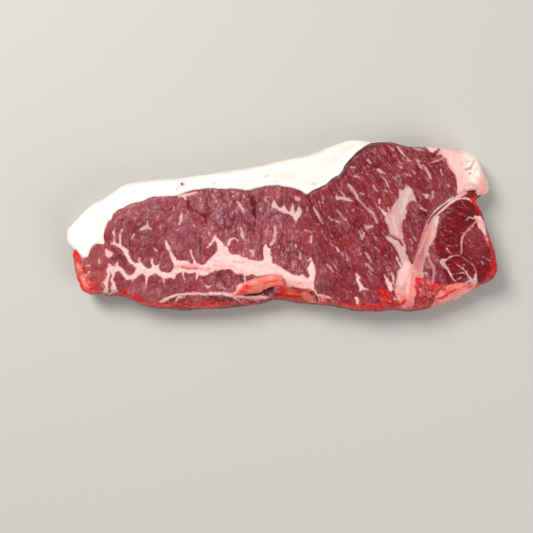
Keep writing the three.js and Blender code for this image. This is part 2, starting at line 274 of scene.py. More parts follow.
# Each seam, with the colour of its fat.
SEAMS = [
    (CENTRAL_SEAM_UPPER + CENTRAL_SEAM_LOWER, SEAM_FAT),
    (MIDDLE_SEAM, GREY_FAT),
    (FLAP, SALMON_FAT),
    (SHELF, RUST),
    (TAIL_KNOT, SEAM_FAT),
    (CORNER_FAT, PINK_FAT),
    (LOBE, LOBE_FAT),
    (ZIGZAG, PALE_FAT),
    (HOOK, GREY_FAT),
    (PATCH, GREY_FAT),
    (FREE_EDGE_PATCH, SEAM_FAT),
]
FLAP_SEAM = 2  # places in this list
CORNER_SEAM = 5

# ---------------------------------------------------------------- strands of fat
TAIL_STRANDS = paths("""
    -90.8,-9.8,0.7 -87.6,-10.3,1.2 -85.3,-11.8,1.9 -83,-13.7,2.3 -81.8,-16.4,2 -80.7,-19.1,1.9 \
    -78.4,-21,2.1 -75.7,-22.1,3
    -89.1,-9.4,0.8 -89.1,-6,0.5 -89.4,-3.8,1.2 -89.1,-2.3,0.4
    -86.2,-10.2,1 -86.2,-8,0.7 -85.7,-5,0.9 -84.7,-2.3,0.6
    -92,-20.8,0.9 -90.8,-23.4,2.8 -88.6,-23.4,3 -87,-23,2.2 -85.3,-24,2 -83,-27.3,2.1 -81.5,-28.2,2.1 \
    -79.2,-27.8,2.2 -77.4,-26,2.6 -75.5,-24,4
    -87.6,-22.4,1.8 -87.6,-19.7,0.4
    -79.2,-28,1.4 -79.2,-30.4,0.4
    -75.7,-21.5,1.8 -75.7,-17.6,0.4
    -92.4,-21.2,0.4 -92.4,-24,1.7 -92,-26.4,0.8 -93,-28.4,1.6 -94,-30.5,2.4 -93.2,-32.6,1.1 \
    -93.9,-35.4,2.3 -96.4,-36,1
    -93.4,-29.6,1.2 -95.7,-30.3,0.8
    -89.8,-24,2.8 -89.6,-27,1.2 -90.7,-29,1 -89.7,-31.2,1.4 -89.5,-33.4,2.8 -89.2,-36.2,4.4
    -92.3,-36.9,1.1 -89.5,-36.6,1.6 -87.6,-36.6,0.8
""")
SEAM_STRANDS = paths("""
    -55,15.2,0.8 -52,15.6,1.6 -48,16.8,1.2 -45.5,17.3,0.7
    -52.3,15.4,1.2 -51,13.8,0.9
    -69,-19.5,1.4 -69,-17.6,0.5
    -63,-28,1.2 -62.8,-31,0.4
    -61.6,-8.2,0.6 -61.2,-9.8,1.5 -60.4,-12.2,2.3 -59.6,-13.7,1.1 -58.6,-16,1.8 -57,-19.5,2.6
    -48.5,-13.5,0.7 -47.8,-16,0.9 -46.8,-18.5,1.1 -46.3,-20.5,1.6
    -53,-25.5,1 -51.8,-30.5,0.4
    -45,-26,1.3 -45.7,-29.3,0.4
    -20,-26,1 -19.8,-30,0.6
    -35.5,-6.5,1.2 -37,-9,1 -39.7,-12,0.6
    -28.5,-10,1.4 -27.5,-7.7,1 -26,-7,0.9 -24.5,-7.2,0.9 -23.5,-8.3,0.6
    15.2,-17.8,1 13.2,-19,0.5
    39.5,-26,0.8 40.5,-28,1.6 40,-29.5,1.3 41,-31.5,1.7 42,-33,1.8 41.3,-34.7,1
    42,-33,1.4 44,-33.9,1.1 46,-34.3,0.5
    56.3,9,0.6 57,6.8,1
    51.5,9.5,0.6 53.5,7.5,1 55,5.5,1.4
    61,-18,0.7 62.5,-20.5,0.9 63.3,-22,1
    58,-25.5,0.6 59,-28,0.8 59,-31,0.6
    54.6,-26.8,0.8 55.8,-29.5,1.6 57,-32.5,2.6 57.6,-34,2.2
    78,-18.2,1.2 79.3,-20.4,1 80.6,-22.5,1.1 80.3,-26.9,1.1 79.5,-30.3,0.9
    77.2,-15.5,1.4 78,-18.2,1.2
    60.8,-17.2,0.5 62.2,-20.3,0.8 63.5,-22.5,0.6
    81.2,3.5,1.6 83.6,6.8,1.4 86.6,9.3,1.3 88.8,11.4,1.4 91,13,1.8 93.5,15,2 95.5,16.3,1.8 98,17.3,1.2
    78.6,3.2,0.9 81.2,7.3,0.9 84.5,10,0.9 87.6,12.6,0.9 91,14.6,1.2
    91.5,13.8,0.9 96,14.3,0.9 99,14,0.9 101,12.5,0.6
""")
CORNER_STRANDS = paths("""
    103,2,1 101.4,0,1.1 98.8,-2.6,1.1 96.6,-4.8,1.3 95.3,-6.9,1.3 95.1,-10.8,1.1 95.3,-14.3,1.1 \
    94.9,-16,0.9
    94.9,-16,0.7 92.3,-16.2,0.7 89.7,-16.7,0.9 87.5,-18,1.2 85.6,-19.3,2.4
    87,-12.1,0.6 88.4,-13.9,0.6 90.5,-15.8,0.5
    85.2,-19.4,3.3 85.5,-21.2,2 87.9,-23.4,1.1 89.2,-26,1.1 90.5,-28.2,1 91.8,-29.9,0.7
    95.2,-16.4,0.5 97.9,-18.6,0.6 100,-19.9,0.6 102.2,-22.1,0.6 102.7,-24.3,0.6
    91.4,-20.4,0.4 93.2,-21.5,0.6 94.9,-22.1,0.9 97.5,-24.7,0.9 98.8,-27.3,1 101,-29.5,1.6
    90.4,-26.4,0.4 92.3,-26,0.5 94.9,-25.1,0.6 97.5,-26,0.6
    103,-24.7,0.8 103.1,-27.7,1.7 102.7,-30.4,4
    97.5,-30.4,0.9 100.5,-29.7,1.8 103,-30.3,2
    102.8,4.2,2.2 104.8,2.6,4.6 106.2,-0.4,4.6 107.8,-3.6,2.4 109,-8,1.6 109.4,-11,0.8
    98.5,4.5,0.7 101,3.5,0.9 103.5,3.5,1.1
    97,2,0.5 98,3,0.7 99,4,0.7
""")
# Faint fibres that swirl through the right of the corner muscle.
SWIRL_AT = (103.1, -4.3)
SWIRL_WIDTH = 0.4
# Each with its radius, and the angles at which it starts and ends.
SWIRLS = [(1.6, 0, 280), (3.2, 60, 250), (5.4, 110, 230), (7.8, 165, 250)]
MEMBRANE_STRANDS = paths("""
    -65,-41,1.6 -62.5,-39.8,1.4 -59,-38.2,1.2 -56,-37,1.1 -52,-36.6,1 -42,-36.6,1.1 -36,-36.4,1.3 \
    -31,-36.6,1.3 -26.4,-37.5,1.6 -23.9,-38.1,1.1 -19.6,-38.4,1 -13.4,-38.3,1.3 -8.4,-38.4,1 \
    -6.3,-38.7,0.5
    -26.4,-37.6,1 -25,-39,0.8 -23,-40.3,0.5
    -47.3,-36.4,0.9 -47.3,-35.4,0.4
    -57,-41,0.8 -55,-38.5,0.8 -52,-38.3,0.6
    -17,-39.4,0.5 -12.5,-39.4,0.9 -8,-39,0.7
    -10.6,-36.4,1 -10.2,-36.4,1
    -13,-40.8,0.9 -10.5,-41,1.6 -9.8,-40.6,1
    39,-38.5,1.2 40,-40,1.6 40.5,-43,1.6 38,-44.6,1.2
    54,-42,1.4 57,-43.5,1.6
    15.8,-33.6,1.4 17.4,-36,1.2 19,-38.6,1 20.5,-40,0.8
    19.8,-37.4,1 23,-37.8,1 26,-38.8,0.7
    26.7,-40.5,1.1 27.2,-40.8,1
    29.2,-41.1,1 29.7,-41.3,0.9
    61,-44,0.9 65,-43.6,0.5 68.5,-44.5,0.8 72,-44.3,0.5
    67.8,-44.2,0.6 68.4,-45.8,0.7
    59.8,-39,1.1 60.6,-39.6,1
    55.8,-42.9,1.4 56.8,-43,1.3
""")
# Single flecks of marbling in the lean: from end to end, with their width.
FLECKS_LEFT = paths("""
    -75,-2.5,1.3 -71.3,-1,2 -69.5,-2.3,1; -71.5,-0.8,1.4 -71.3,2,0.4; -80,-7.5,0.5 -78.5,-5,0.5
    -67.7,-12.3,0.8 -66.5,-14,0.5; -53.3,6.5,0.9 -53.5,3,1.5 -54.2,0.5,0.8; -47,-0.2,0.7 -46,-0.8,0.6
    -41,-32,0.6 -39.5,-33.2,1.1 -37.8,-32,0.6; -31.4,-33.2,0.7 -30.6,-33.8,0.6
    -22,-1,0.8 -21.5,-5,1.7 -20.3,-7.5,0.9; -38.5,-3.4,0.7 -38.5,-5.6,0.9
    -17,-13.5,0.9 -15.5,-14,1 -15,-16.5,0.7; -23.5,12,1.2 -22,10,1.4 -20.5,8,0.7; -37,16,0.9 -36,15,0.8
    -26.8,17.5,0.7 -26.3,17.4,0.7; -23.5,17,0.6 -23.4,16.4,0.6; -26.2,15.5,0.6 -25.9,15,0.6
    -20.6,16,0.7 -20.4,14.8,0.6; -4,-0.8,0.8 -3.5,-4,1.9 -4.2,-7.5,2 -6.2,-10.5,1
    -8.3,15,0.8 -8.6,13.3,0.7; -97.3,-18,1 -97.3,-20.2,1.2; -104.4,-21.9,0.8 -102.4,-21.5,0.6
    -106.3,-29,0.9 -104.5,-26.8,1.1 -102.5,-24.7,0.8; -57.2,9.5,0.4 -57.8,7.8,0.5
    -33.6,11,0.5 -33.2,9.6,0.5
""")
FLECKS_MIDDLE = paths("""
    7.7,14.2,1.9 8.6,13.8,1.9; 13.2,9.3,0.8 13.2,7.7,0.7; 16.8,9.5,0.7 18.6,6,1.1 20.5,2.5,1 21.6,1,0.6
    19.6,12.4,0.7 19.9,11.6,0.7; 21.3,12.3,0.7 21.7,11.7,0.6; 21.5,15,0.7 21.9,14,0.6
    31,18,0.6 32.8,15.5,0.7; 35.5,21.5,1.3 37,20,1.5 38.3,17.5,1.5 39.5,15.5,1.2 40.5,13.5,0.9
    40.5,13.5,0.7 43,11,0.8 45,8.5,1.1 48,6.3,1.4 49.3,4,1.3 50.2,1,0.8; 29,8,0.6 31,5.5,0.8 34,2.5,0.6
    24.8,4.2,0.6 27.2,2.6,0.6; 28.4,2.2,0.9 29.8,1.4,0.8; 37.6,7.8,0.6 38.4,7.2,0.6
    36.5,31,0.6 38.5,30.5,0.6; 38.3,26,0.9 41,25.2,0.7; 42.2,28,0.5 42.9,27.4,0.5
    45.5,34.8,0.9 46.8,33,0.7; 45,31.5,0.5 46,30.7,0.5; 41.5,16.8,0.9 43.3,16.3,0.7
    45,-1,1.2 47.5,-0.8,1.5; 44,0.5,0.6 45,-3,0.6; 12,-2.5,0.6 14.5,-3.4,0.7 17.5,-3.2,0.4
    15.5,-6,0.9 15.3,-9,1.1; 9.8,-15.8,0.8 9.5,-18,1; 7.4,-10.5,0.5 7.7,-11.8,0.5
    0.8,-19.6,0.5 0.8,-20.6,0.5; 5.3,-5.5,0.5 5.7,-6.2,0.5; 24,-21,0.8 25.5,-22.5,1.2 27,-25,0.7
    25.5,-9.5,0.6 26.8,-11,0.6; 29,-12,1.1 29.8,-13.7,0.9; 31.5,-14.5,0.7 32.3,-15.7,0.6
    34,-16.5,0.7 35,-18.3,0.6; 44,-14.5,0.7 45.5,-17,1 47.3,-19.5,0.6; 44.3,-20.5,1 46,-22,0.9 48,-24,0.6
    42.3,-7.5,1 43.5,-4.5,1; 41,-3.5,0.6 42,-6.5,0.6; 54.6,-15.7,0.6 55.4,-16.3,0.6
    57,17.8,0.6 58.5,16.8,0.6; 54,19,0.6 55.5,17.5,0.6; 51.5,13.2,1.1 51.5,11.8,1
    48,21.5,0.7 49.5,19.5,0.8 51,17.5,0.6; 49.5,-12,0.6 51.5,-13.7,0.6
""")
FLECKS_RIGHT = paths("""
    61,41.5,0.9 63,39.5,1.2 65,37,0.8; 57,42,0.6 58.5,40,0.7; 50.8,29.5,1.2 52.5,28.3,1.4 54.5,27.3,0.9
    52.3,26.3,0.7 54,24.5,0.8 55.5,22.5,0.8 56.3,20,0.6; 61.8,33,0.5 64,32.8,0.5
    61.5,31.8,0.8 63.5,30.3,1; 66.5,34.8,1 67.8,34,1; 71,34.5,0.8 73,33.8,0.8
    75,31.5,1 76.5,29,1.5 78,26.5,1.4 78.7,25,0.9; 65,27.8,0.5 66.5,26,0.5; 67,27,0.5 68.3,25.5,0.5
    69,29,0.6 70.3,27,0.6; 80,17.2,1.2 80,15.2,1.7; 73.5,9,0.7 76.5,7.8,0.7; 84,29.5,0.7 84.8,26.5,0.7
    87.8,21.2,0.9 88.2,20.8,0.9; 106.1,-19.6,0.9 106.5,-20.4,1; 106.4,-16.8,0.4 110.6,-18.8,0.4
    93,-29,0.6 95,-28,0.6; 68,-7.5,0.7 69,-9.5,0.6; 70,-6.5,0.7 71,-8.5,0.6; 69,-12,0.8 69,-14.5,0.6
    79.4,33.2,0.7 82,34,1.1 84.8,35.2,1.3 86.4,36,1.5; 81.4,35.4,0.5 82.6,37.2,1.1 84,38.8,1.4
    70.5,41,1 72.5,40.2,1.5 74.2,40,0.9; 76.2,-25.4,1.3 76.6,-25.8,1.3
    71.5,33,0.5 73.3,31.2,1.3 74.3,30,0.8; 96.2,-21,0.5 96.6,-21.2,0.5
""")
# Fibres of fat that hardly show: the swirls and curls in the corner muscle.
FLECKS_FAINT = paths("""
    81.5,-1.5,0.4 84,-1,0.4; 86,2.8,0.5 86.3,0.6,0.7 87,-1.8,0.4; 86,-2.4,0.4 88,-3,0.4 90,-2.8,0.4
    87.5,3.8,0.5 90.5,3.2,0.5; 84.5,-5,0.5 86.5,-5.2,0.4; 88,-6.5,0.4 91.5,-7,0.4
    86.8,-10.7,0.4 90,-11.3,0.4 93,-11,0.4; 83.5,-8.5,0.4 86.5,-9.5,0.5; 98.5,-8,0.4 101,-9.5,0.4
    98.6,-9.6,0.5 101.8,-11.4,0.4; 104.5,-9,0.4 106.5,-12,0.4; 81,-14,0.4 84,-15,0.4
    90.7,-25.3,0.4 94.3,-25.9,0.5 96,-25.3,0.4; 84,-26,0.4 83.5,-29,0.4; 87,-27,0.4 86.5,-29.5,0.4
    84.2,-3.4,0.5 84.7,-4.4,0.5; 97.1,9.6,0.6 97.6,9,0.6; 95.8,8.2,0.5 96.3,7.7,0.5
    86.6,-7.2,0.5 87,-7.8,0.5; 91.8,-0.8,0.5 92.3,-1.3,0.5; 89.2,-3.2,0.5 89.8,-3.8,0.5
    87.5,6.6,0.5 88.8,5.6,0.5
""")
STRANDS = TAIL_STRANDS + SEAM_STRANDS + MEMBRANE_STRANDS
FLECKS = FLECKS_LEFT + FLECKS_MIDDLE + FLECKS_RIGHT

# Islands of lean that lie inside a seam.
LEAN_ISLANDS = paths("""
    76.2,-18.6 78,-19.6 79.3,-22 79.2,-26 78.4,-29 76,-28.2 75.2,-25 75.1,-20.8
""")

# ---------------------------------------------------------------- cuts and cracks
# Each has its strand, how deep it is, and how much shade is painted inside it.
SLITS = [
    ("77.8,1,0.15 80.5,5,0.35 83,7.5,0.4 86,10,0.35 88.5,12,0.1", 1.2, 1),
    ("56.5,-5.8,0.1 58.5,-6.3,0.25 60,-7.5,0.3 61.8,-8,0.3 62.8,-9.3,0.5 63.8,-11,0.3", 0.9, 1),
    ("-94.5,-10,0.2 -94.5,-15,0.2", 0.8, 0.6),
    ("45,-33.5,0.2 47.5,-33.7,0.3 50,-34,0.3 51.5,-35.5,0.4 52,-37.5,0.2", 0.8, 0.7),
    ("-20,-37.4,0.2 -14,-37.1,0.8 -10.5,-36.3,0.8 -9,-34.9,0.8 -7.5,-33.8,1 -5.3,-33.2,0.8", 1.4, 1),
    ("16.5,-35.4,0.3 17.8,-37.6,0.3 19.6,-41,0.4", 0.9, 1),
    ("5,-33.6,0.1 8,-34,0.3 10,-35,0.3 13,-35.2,0.1", 0.7, 0.9),
    ("15.5,-36.2,0.9 16,-37,0.9", 0.8, 1),
    ("79.2,31.8,0.3 82,32.8,0.8 84.8,34.2,0.5", 0.8, 0.9),
    ("79,37.4,0.6 81,36.8,1.3 82.4,36.4,0.7", 0.8, 0.8),
    ("100,17.8,0.5 101.2,17.6,0.5", 0.8, 0.9),
]
FISSURES = [
    ("-50,13,1 -49.5,11,1.5 -49,9,1.4 -48,7.2,0.8 -46,6.8,0.6 -43.5,6,0.6 -41.5,5,0.8 -40,3,1.6", 0.7, 1),
    ("-40,14,0.8 -39.3,9,1.2 -39.2,4,1.6 -39.7,1,0.8", 0.6, 0.8),
    ("-30.7,8,0.5 -30.3,0,0.9 -31,-5,0.5", 0.5, 0.9),
    ("-21.5,8,0.6 -21,3.5,0.9", 0.4, 0.7),
    ("-16,15,1 -15,11,3.2 -14.6,6.5,2.6 -14.2,4,0.9 -14.6,-1,0.7 -15.2,-5,0.4", 0.6, 1),
    ("-16,-3,0.5 -14,2,0.5", 0.3, 0.5),
    ("-39.5,5.4,1.5 -39.3,2.5,2.2", 0.4, 0.7),
    ("-68,15.3,0.3 -60,15.4,0.5 -53,15.9,0.4", 0.3, 0.6),
    ("-7,-14.3,1.1 -6.9,-14.4,1.1", 0.4, 0.9),
    ("-7.5,-10.5,0.3 -5.5,-13.5,0.4 -4.3,-15.5,0.3", 0.3, 0.6),
    ("-43.2,-7,0.6 -43.5,-12,1.2 -43.5,-15,0.6", 0.5, 1),
    ("-70,8.2,0.3 -62,8,0.5 -60.6,6.8,0.7 -56,9.8,0.4", 0.35, 0.8),
    ("-60.4,12.5,0.3 -60.4,7,0.6", 0.35, 0.5),
    ("-61.3,1,0.3 -61.6,-4,0.7 -62,-7.5,0.4", 0.4, 0.9),
    ("-57,-3,0.3 -54,-1,0.4 -50,1,0.3", 0.3, 0.45),
    ("-37.5,3,0.5 -34,0,0.8 -32.3,-3.5,0.5", 0.45, 0.6),
    ("-81,-14,0.6 -80.5,-8,0.8 -78,-3,0.9 -74,0,0.8 -70,4,0.6", 0.5, 0.7),
    ("14,15,0.6 15.8,10,0.9 17.8,5,1 20.2,1,1 21.3,-1,0.7", 0.7, 1),
    ("56,30,0.6 59,24,0.8 62,22.5,0.6", 0.35, 0.4),
    ("45,15,0.6 49,10,0.9 52,3,0.9 52.5,-1,0.6", 0.4, 0.4),
    ("68,3,0.6 69,-2,0.9 71,-6,0.7", 0.4, 0.5),
    ("84,22,0.6 87,17,0.8 89,14,0.6", 0.35, 0.4),
    ("-90.5,-18.5,0.8 -86,-16,0.8 -84.5,-19,0.6", 0.4, 0.8),
    ("-65.8,-19,0.4 -64.8,-14,0.6 -61,-11.8,0.5 -58,-15,0.5", 0.4, 0.8),
    ("-80,-17,0.5 -75.5,-12,0.7 -69,-10,0.6 -65,-13,0.4", 0.4, 0.7),
    ("-94,-8,0.4 -89,-13.5,0.5 -84.5,-20,0.4", 0.4, 0.7),
    ("-47.5,-14,0.4 -44,-9,0.6 -43.5,-4,0.5", 0.35, 0.7),
    ("-10.5,2,0.4 -11.5,-4,0.6 -11,-9,0.4", 0.35, 0.7),
]
# Where the cut surface is granular, a cold sheen is painted into its colour.
PAINTED_SHEENS = paths("""
    -43,14,5 -41.5,9,5; -33,12,5 -33,4,7 -36,-1,5; -26,6,4 -26,0,4; -19,10,3 -18.5,5,4
    -10.5,11,4 -9.5,5,6; -3,6,4 -1,1,4; -49,-4,4 -46,-8,5; -72,-8,4 -74,0,4; -66,10,3 -72,8,3
    10,-3,3 2,-12,4; 20,-28,5 24,-35,5; 60,24,4 66,36,4
""")

# ---------------------------------------------------------------- washes of colour
# Each has its strand, its colour and its strength.
FAT_WASHES = [
    ("78.6,2,2 77,-2,3.4 75.2,-7,4.4 73.8,-12,5 72.6,-17,5 71.8,-22,4.4", (190, 98, 98), 0.8),
    ("80,1,2.4 79.6,-4,2.6 78.6,-8.5,2.4", (222, 146, 140), 0.7),
    ("74.5,-13.5,2 73,-17,2.4", (176, 102, 100), 0.6),
    ("56.5,-4.5,1.6 59.5,-6.4,1.6 62,-7.6,1.6 63.5,-10,1.6", (176, 92, 90), 0.7),
    ("77.3,-3,0.8 75,-9.5,0.8 72.5,-15.5,0.8", (236, 184, 176), 0.5),
    ("80,-3,0.8 79.5,-8,0.8", (236, 190, 182), 0.7),
    ("72.5,-19,1.2 73.3,-24,1.4 73,-28,1.4", (206, 120, 124), 0.7),
    ("70.8,-22,1 71.3,-27,1.4 70,-32,2", (240, 120, 112), 0.8),
    ("68.5,-24,3 67.5,-31,4 66,-37,4", (240, 146, 138), 0.7),
    ("66,-21,4 65,-26,5 63,-31,3", (246, 196, 188), 0.9),
    ("61,-33,3 64,-38,4", (244, 158, 148), 0.8),
    ("70.5,-29,3 70,-35,5 69.5,-41,5", (238, 132, 124), 0.85),
    ("68,-27,1.2 66.5,-33,1.4 66.8,-38,1", (248, 206, 198), 0.6),
    ("61.5,-36.5,0.8 64,-37.8,0.8", (228, 70, 66), 0.6),
    ("65,-40,5 68,-42.5,5 67,-45,4", (236, 112, 106), 0.7),
    ("69.5,-25.5,0.7 68.3,-29.5,0.7", (226, 60, 60), 0.6),
    ("59,2,2 57.5,5,2 61,12,1.6", (210, 140, 136), 0.5),
    ("67.5,19,1.6 65.5,13,2 63.5,7,1.4", (224, 198, 194), 0.7),
    ("58.6,5,1.2 59.6,0,1.4 61,-5,1.2", (232, 186, 180), 0.7),
    ("62.6,3,0.9 62.8,-1,1.2 62.6,-6,0.9", (190, 112, 112), 0.6),
    ("69.5,16.5,1.2 67.5,14.5,1", (188, 150, 148), 0.6),
    ("62.6,15.5,0.9 61,10,0.9", (186, 140, 138), 0.6),
    ("3,-31,4 14,-32,4", (240, 162, 154), 0.6),
    ("-33,-17,5 -25,-20,5 -16,-22.5,3", (252, 213, 206), 0.8),
    ("-57,-22.4,1.6 -52,-22,2.6 -45,-22.6,2.6 -39,-24,1.8", (234, 144, 142), 0.75),
    ("-36.5,-21,0.8 -33,-22.2,0.8 -28,-22,0.6", (236, 146, 144), 0.6),
    ("-26,-19,0.8 -18,-20.5,1 -10,-22.5,0.8", (238, 178, 172), 0.6),
    ("-22.5,-36,2 -20,-34.6,4 -18.4,-32.5,2.6", (236, 34, 30), 0.9),
    # Painted highlight: the white gleam on the flap's left tip.
    ("-25.6,-36.6,1.4 -24,-33.4,1.6 -21.8,-31.4,1.2", (250, 190, 178), 0.85),
    ("-16,-31.5,2.4 -12,-30,2.4", (246, 150, 134), 0.6),
    ("-7,-28.4,2.6 -1.5,-28.2,2.2", (248, 154, 138), 0.7),
    ("-4,-31.6,2.2 -1.5,-32.8,3 1,-32.8,3", (228, 14, 14), 0.95),
    ("-3.2,-32.2,0.8 -2.2,-32.6,0.7", (246, 160, 146), 0.8),
    ("-9.7,-30.7,0.9 -7.2,-29.8,1.1 -4.1,-29.4,1.1 -2.2,-28.8,0.8", (224, 56, 44), 0.75),
    ("-9.9,-29.6,0.7 -9.8,-33,0.9", (226, 70, 58), 0.7),
    ("0.7,-28.6,0.7 2,-31.2,0.8", (140, 16, 20), 0.8),
    ("3,-34.4,2 6.5,-35,1.8", (170, 96, 78), 0.8),
    ("-4,-38,3 -2.5,-36.4,2", (120, 22, 26), 0.85),
    ("3.5,-36.4,0.8 6,-36.2,0.9 9,-37.2,0.8", (226, 100, 56), 0.8),
    ("12.5,-37.5,4 16,-39.8,4 17,-42,4", (232, 124, 106), 0.85),
    ("4,-33,0.9 9,-33.6,1 15,-34,0.9", (232, 110, 104), 0.7),
    ("100,38,8 102,32,8 102,26,7", (255, 248, 232), 0.8),
    ("105.5,24,3 107.5,18.5,5", (255, 178, 166), 0.9),
    ("87,35.5,1.6 88.2,32.5,1.6 90,29.4,1.4", (226, 118, 116), 0.7),
    ("101.5,21.5,1.6 104,19.5,1.6", (206, 140, 144), 0.6),
    ("94.5,17,2 98,18,2", (238, 160, 158), 0.6),
    ("102,34.5,0.7 101,32,0.8 100.5,30.5,0.7", (150, 112, 122), 0.8),
    ("98,33.5,0.8 99.5,34.3,0.8", (160, 120, 130), 0.7),
    ("98.5,27,0.8 99.8,27.7,0.8", (160, 120, 128), 0.7),
    ("97.5,29.2,1.1 100,30.3,1.3", (168, 128, 136), 0.75),
    ("84,38.5,0.7 87,38.3,0.7 90,39,0.6", (226, 168, 162), 0.7),
    ("88.5,33,1.2 92,29,1.2 93.5,23,1.2", (250, 182, 174), 0.6),
    ("87,-33.5,4 94,-32.5,4 99,-32.5,3", (242, 112, 104), 0.8),
    ("86,-42,5 92,-39.5,5 99,-36,4", (244, 158, 146), 0.85),
    ("99,-32,1.6 101,-33.5,1.4 102.5,-32.2,1.2", (222, 78, 74), 0.6),
    ("103.5,3,3 106,-1,3", (238, 158, 148), 0.6),
    ("107.5,-5,2 110,-11,2", (232, 140, 134), 0.7),
    ("24,-39.5,3 40,-42,3", (240, 150, 146), 0.6),
    ("-92,-14.5,4 -92,-15,4", (240, 166, 158), 0.6),
    ("85.2,-19.6,3 86.3,-22,1.6", (184, 146, 138), 0.8),
    ("98,-30.2,2.4 103,-29.8,2.4", (218, 158, 166), 0.7),
    ("72,32.5,2 74,30.5,2", (236, 140, 128), 0.8),
    ("103,2,3 98.8,-2.6,3 95.2,-7,3 95.2,-16,3", (188, 128, 126), 0.75),
    ("95.6,-16.6,2.4 97.9,-18.6,2.4 102.2,-22.1,2.4 102.7,-25,2", (170, 98, 100), 0.8),
    ("78,-18,3 80.6,-22.5,3 80,-29,3", (172, 102, 104), 0.8),
]
LEAN_WASHES = [
    ("-98.5,-12,7 -99,-20,8", (138, 52, 54), 0.6),
    ("-98,-28,8 -97,-33,7", (172, 58, 60), 0.7),
    ("20,-30,9 32,-36,10", (130, 32, 42), 0.5),
    ("-62,3,16 -80,-2,14", (120, 30, 42), 0.5),
    ("-55,-4,16 -44,-7,12", (156, 76, 88), 0.55),
    ("-27,6,16 -20,-2,18", (136, 50, 66), 0.5),
    ("-50,-30,9 -30,-30,9", (146, 46, 60), 0.5),
    ("-4,-10,10 8,-6,12", (150, 26, 36), 0.5),
    ("-8.5,-35.5,3.4 -4.5,-37,3.4", (104, 48, 58), 0.85),
    ("35.5,-7,4 36,-5,3", (176, 70, 78), 0.3),
    ("-37.5,0,2 -36.5,-6,2.5", (196, 62, 66), 0.7),
    ("60,38,12 50,30,12", (124, 20, 36), 0.5),
    ("104,-12,11 102,-6,10", (136, 52, 58), 0.8),
    ("97,16,3 101,16,3", (134, 34, 36), 0.9),
    ("-58,15,1 -50,12,2 -48,8,1.5", (160, 16, 32), 0.7),
    ("-50,12.5,1.2 -48.5,8,1.2 -44,6.5,1 -40.5,4,1.6 -39.5,1.5,2", (168, 10, 24), 0.75),
    ("-16.5,12,3 -14.8,7,3.4 -14.4,2,2", (104, 6, 18), 0.75),
    ("70,4,9 77,4,7", (84, 0, 12), 0.8),
    ("-40,-39,3 -22,-39,3", (84, 10, 22), 0.8),
    ("-60,-40,3 -52,-39.5,3", (104, 14, 26), 0.7),
    ("-93.5,-7,2 -92.5,-7,2", (98, 6, 20), 0.8),
    ("77,-23,3 77,-27,2.4", (140, 50, 66), 0.8),
]
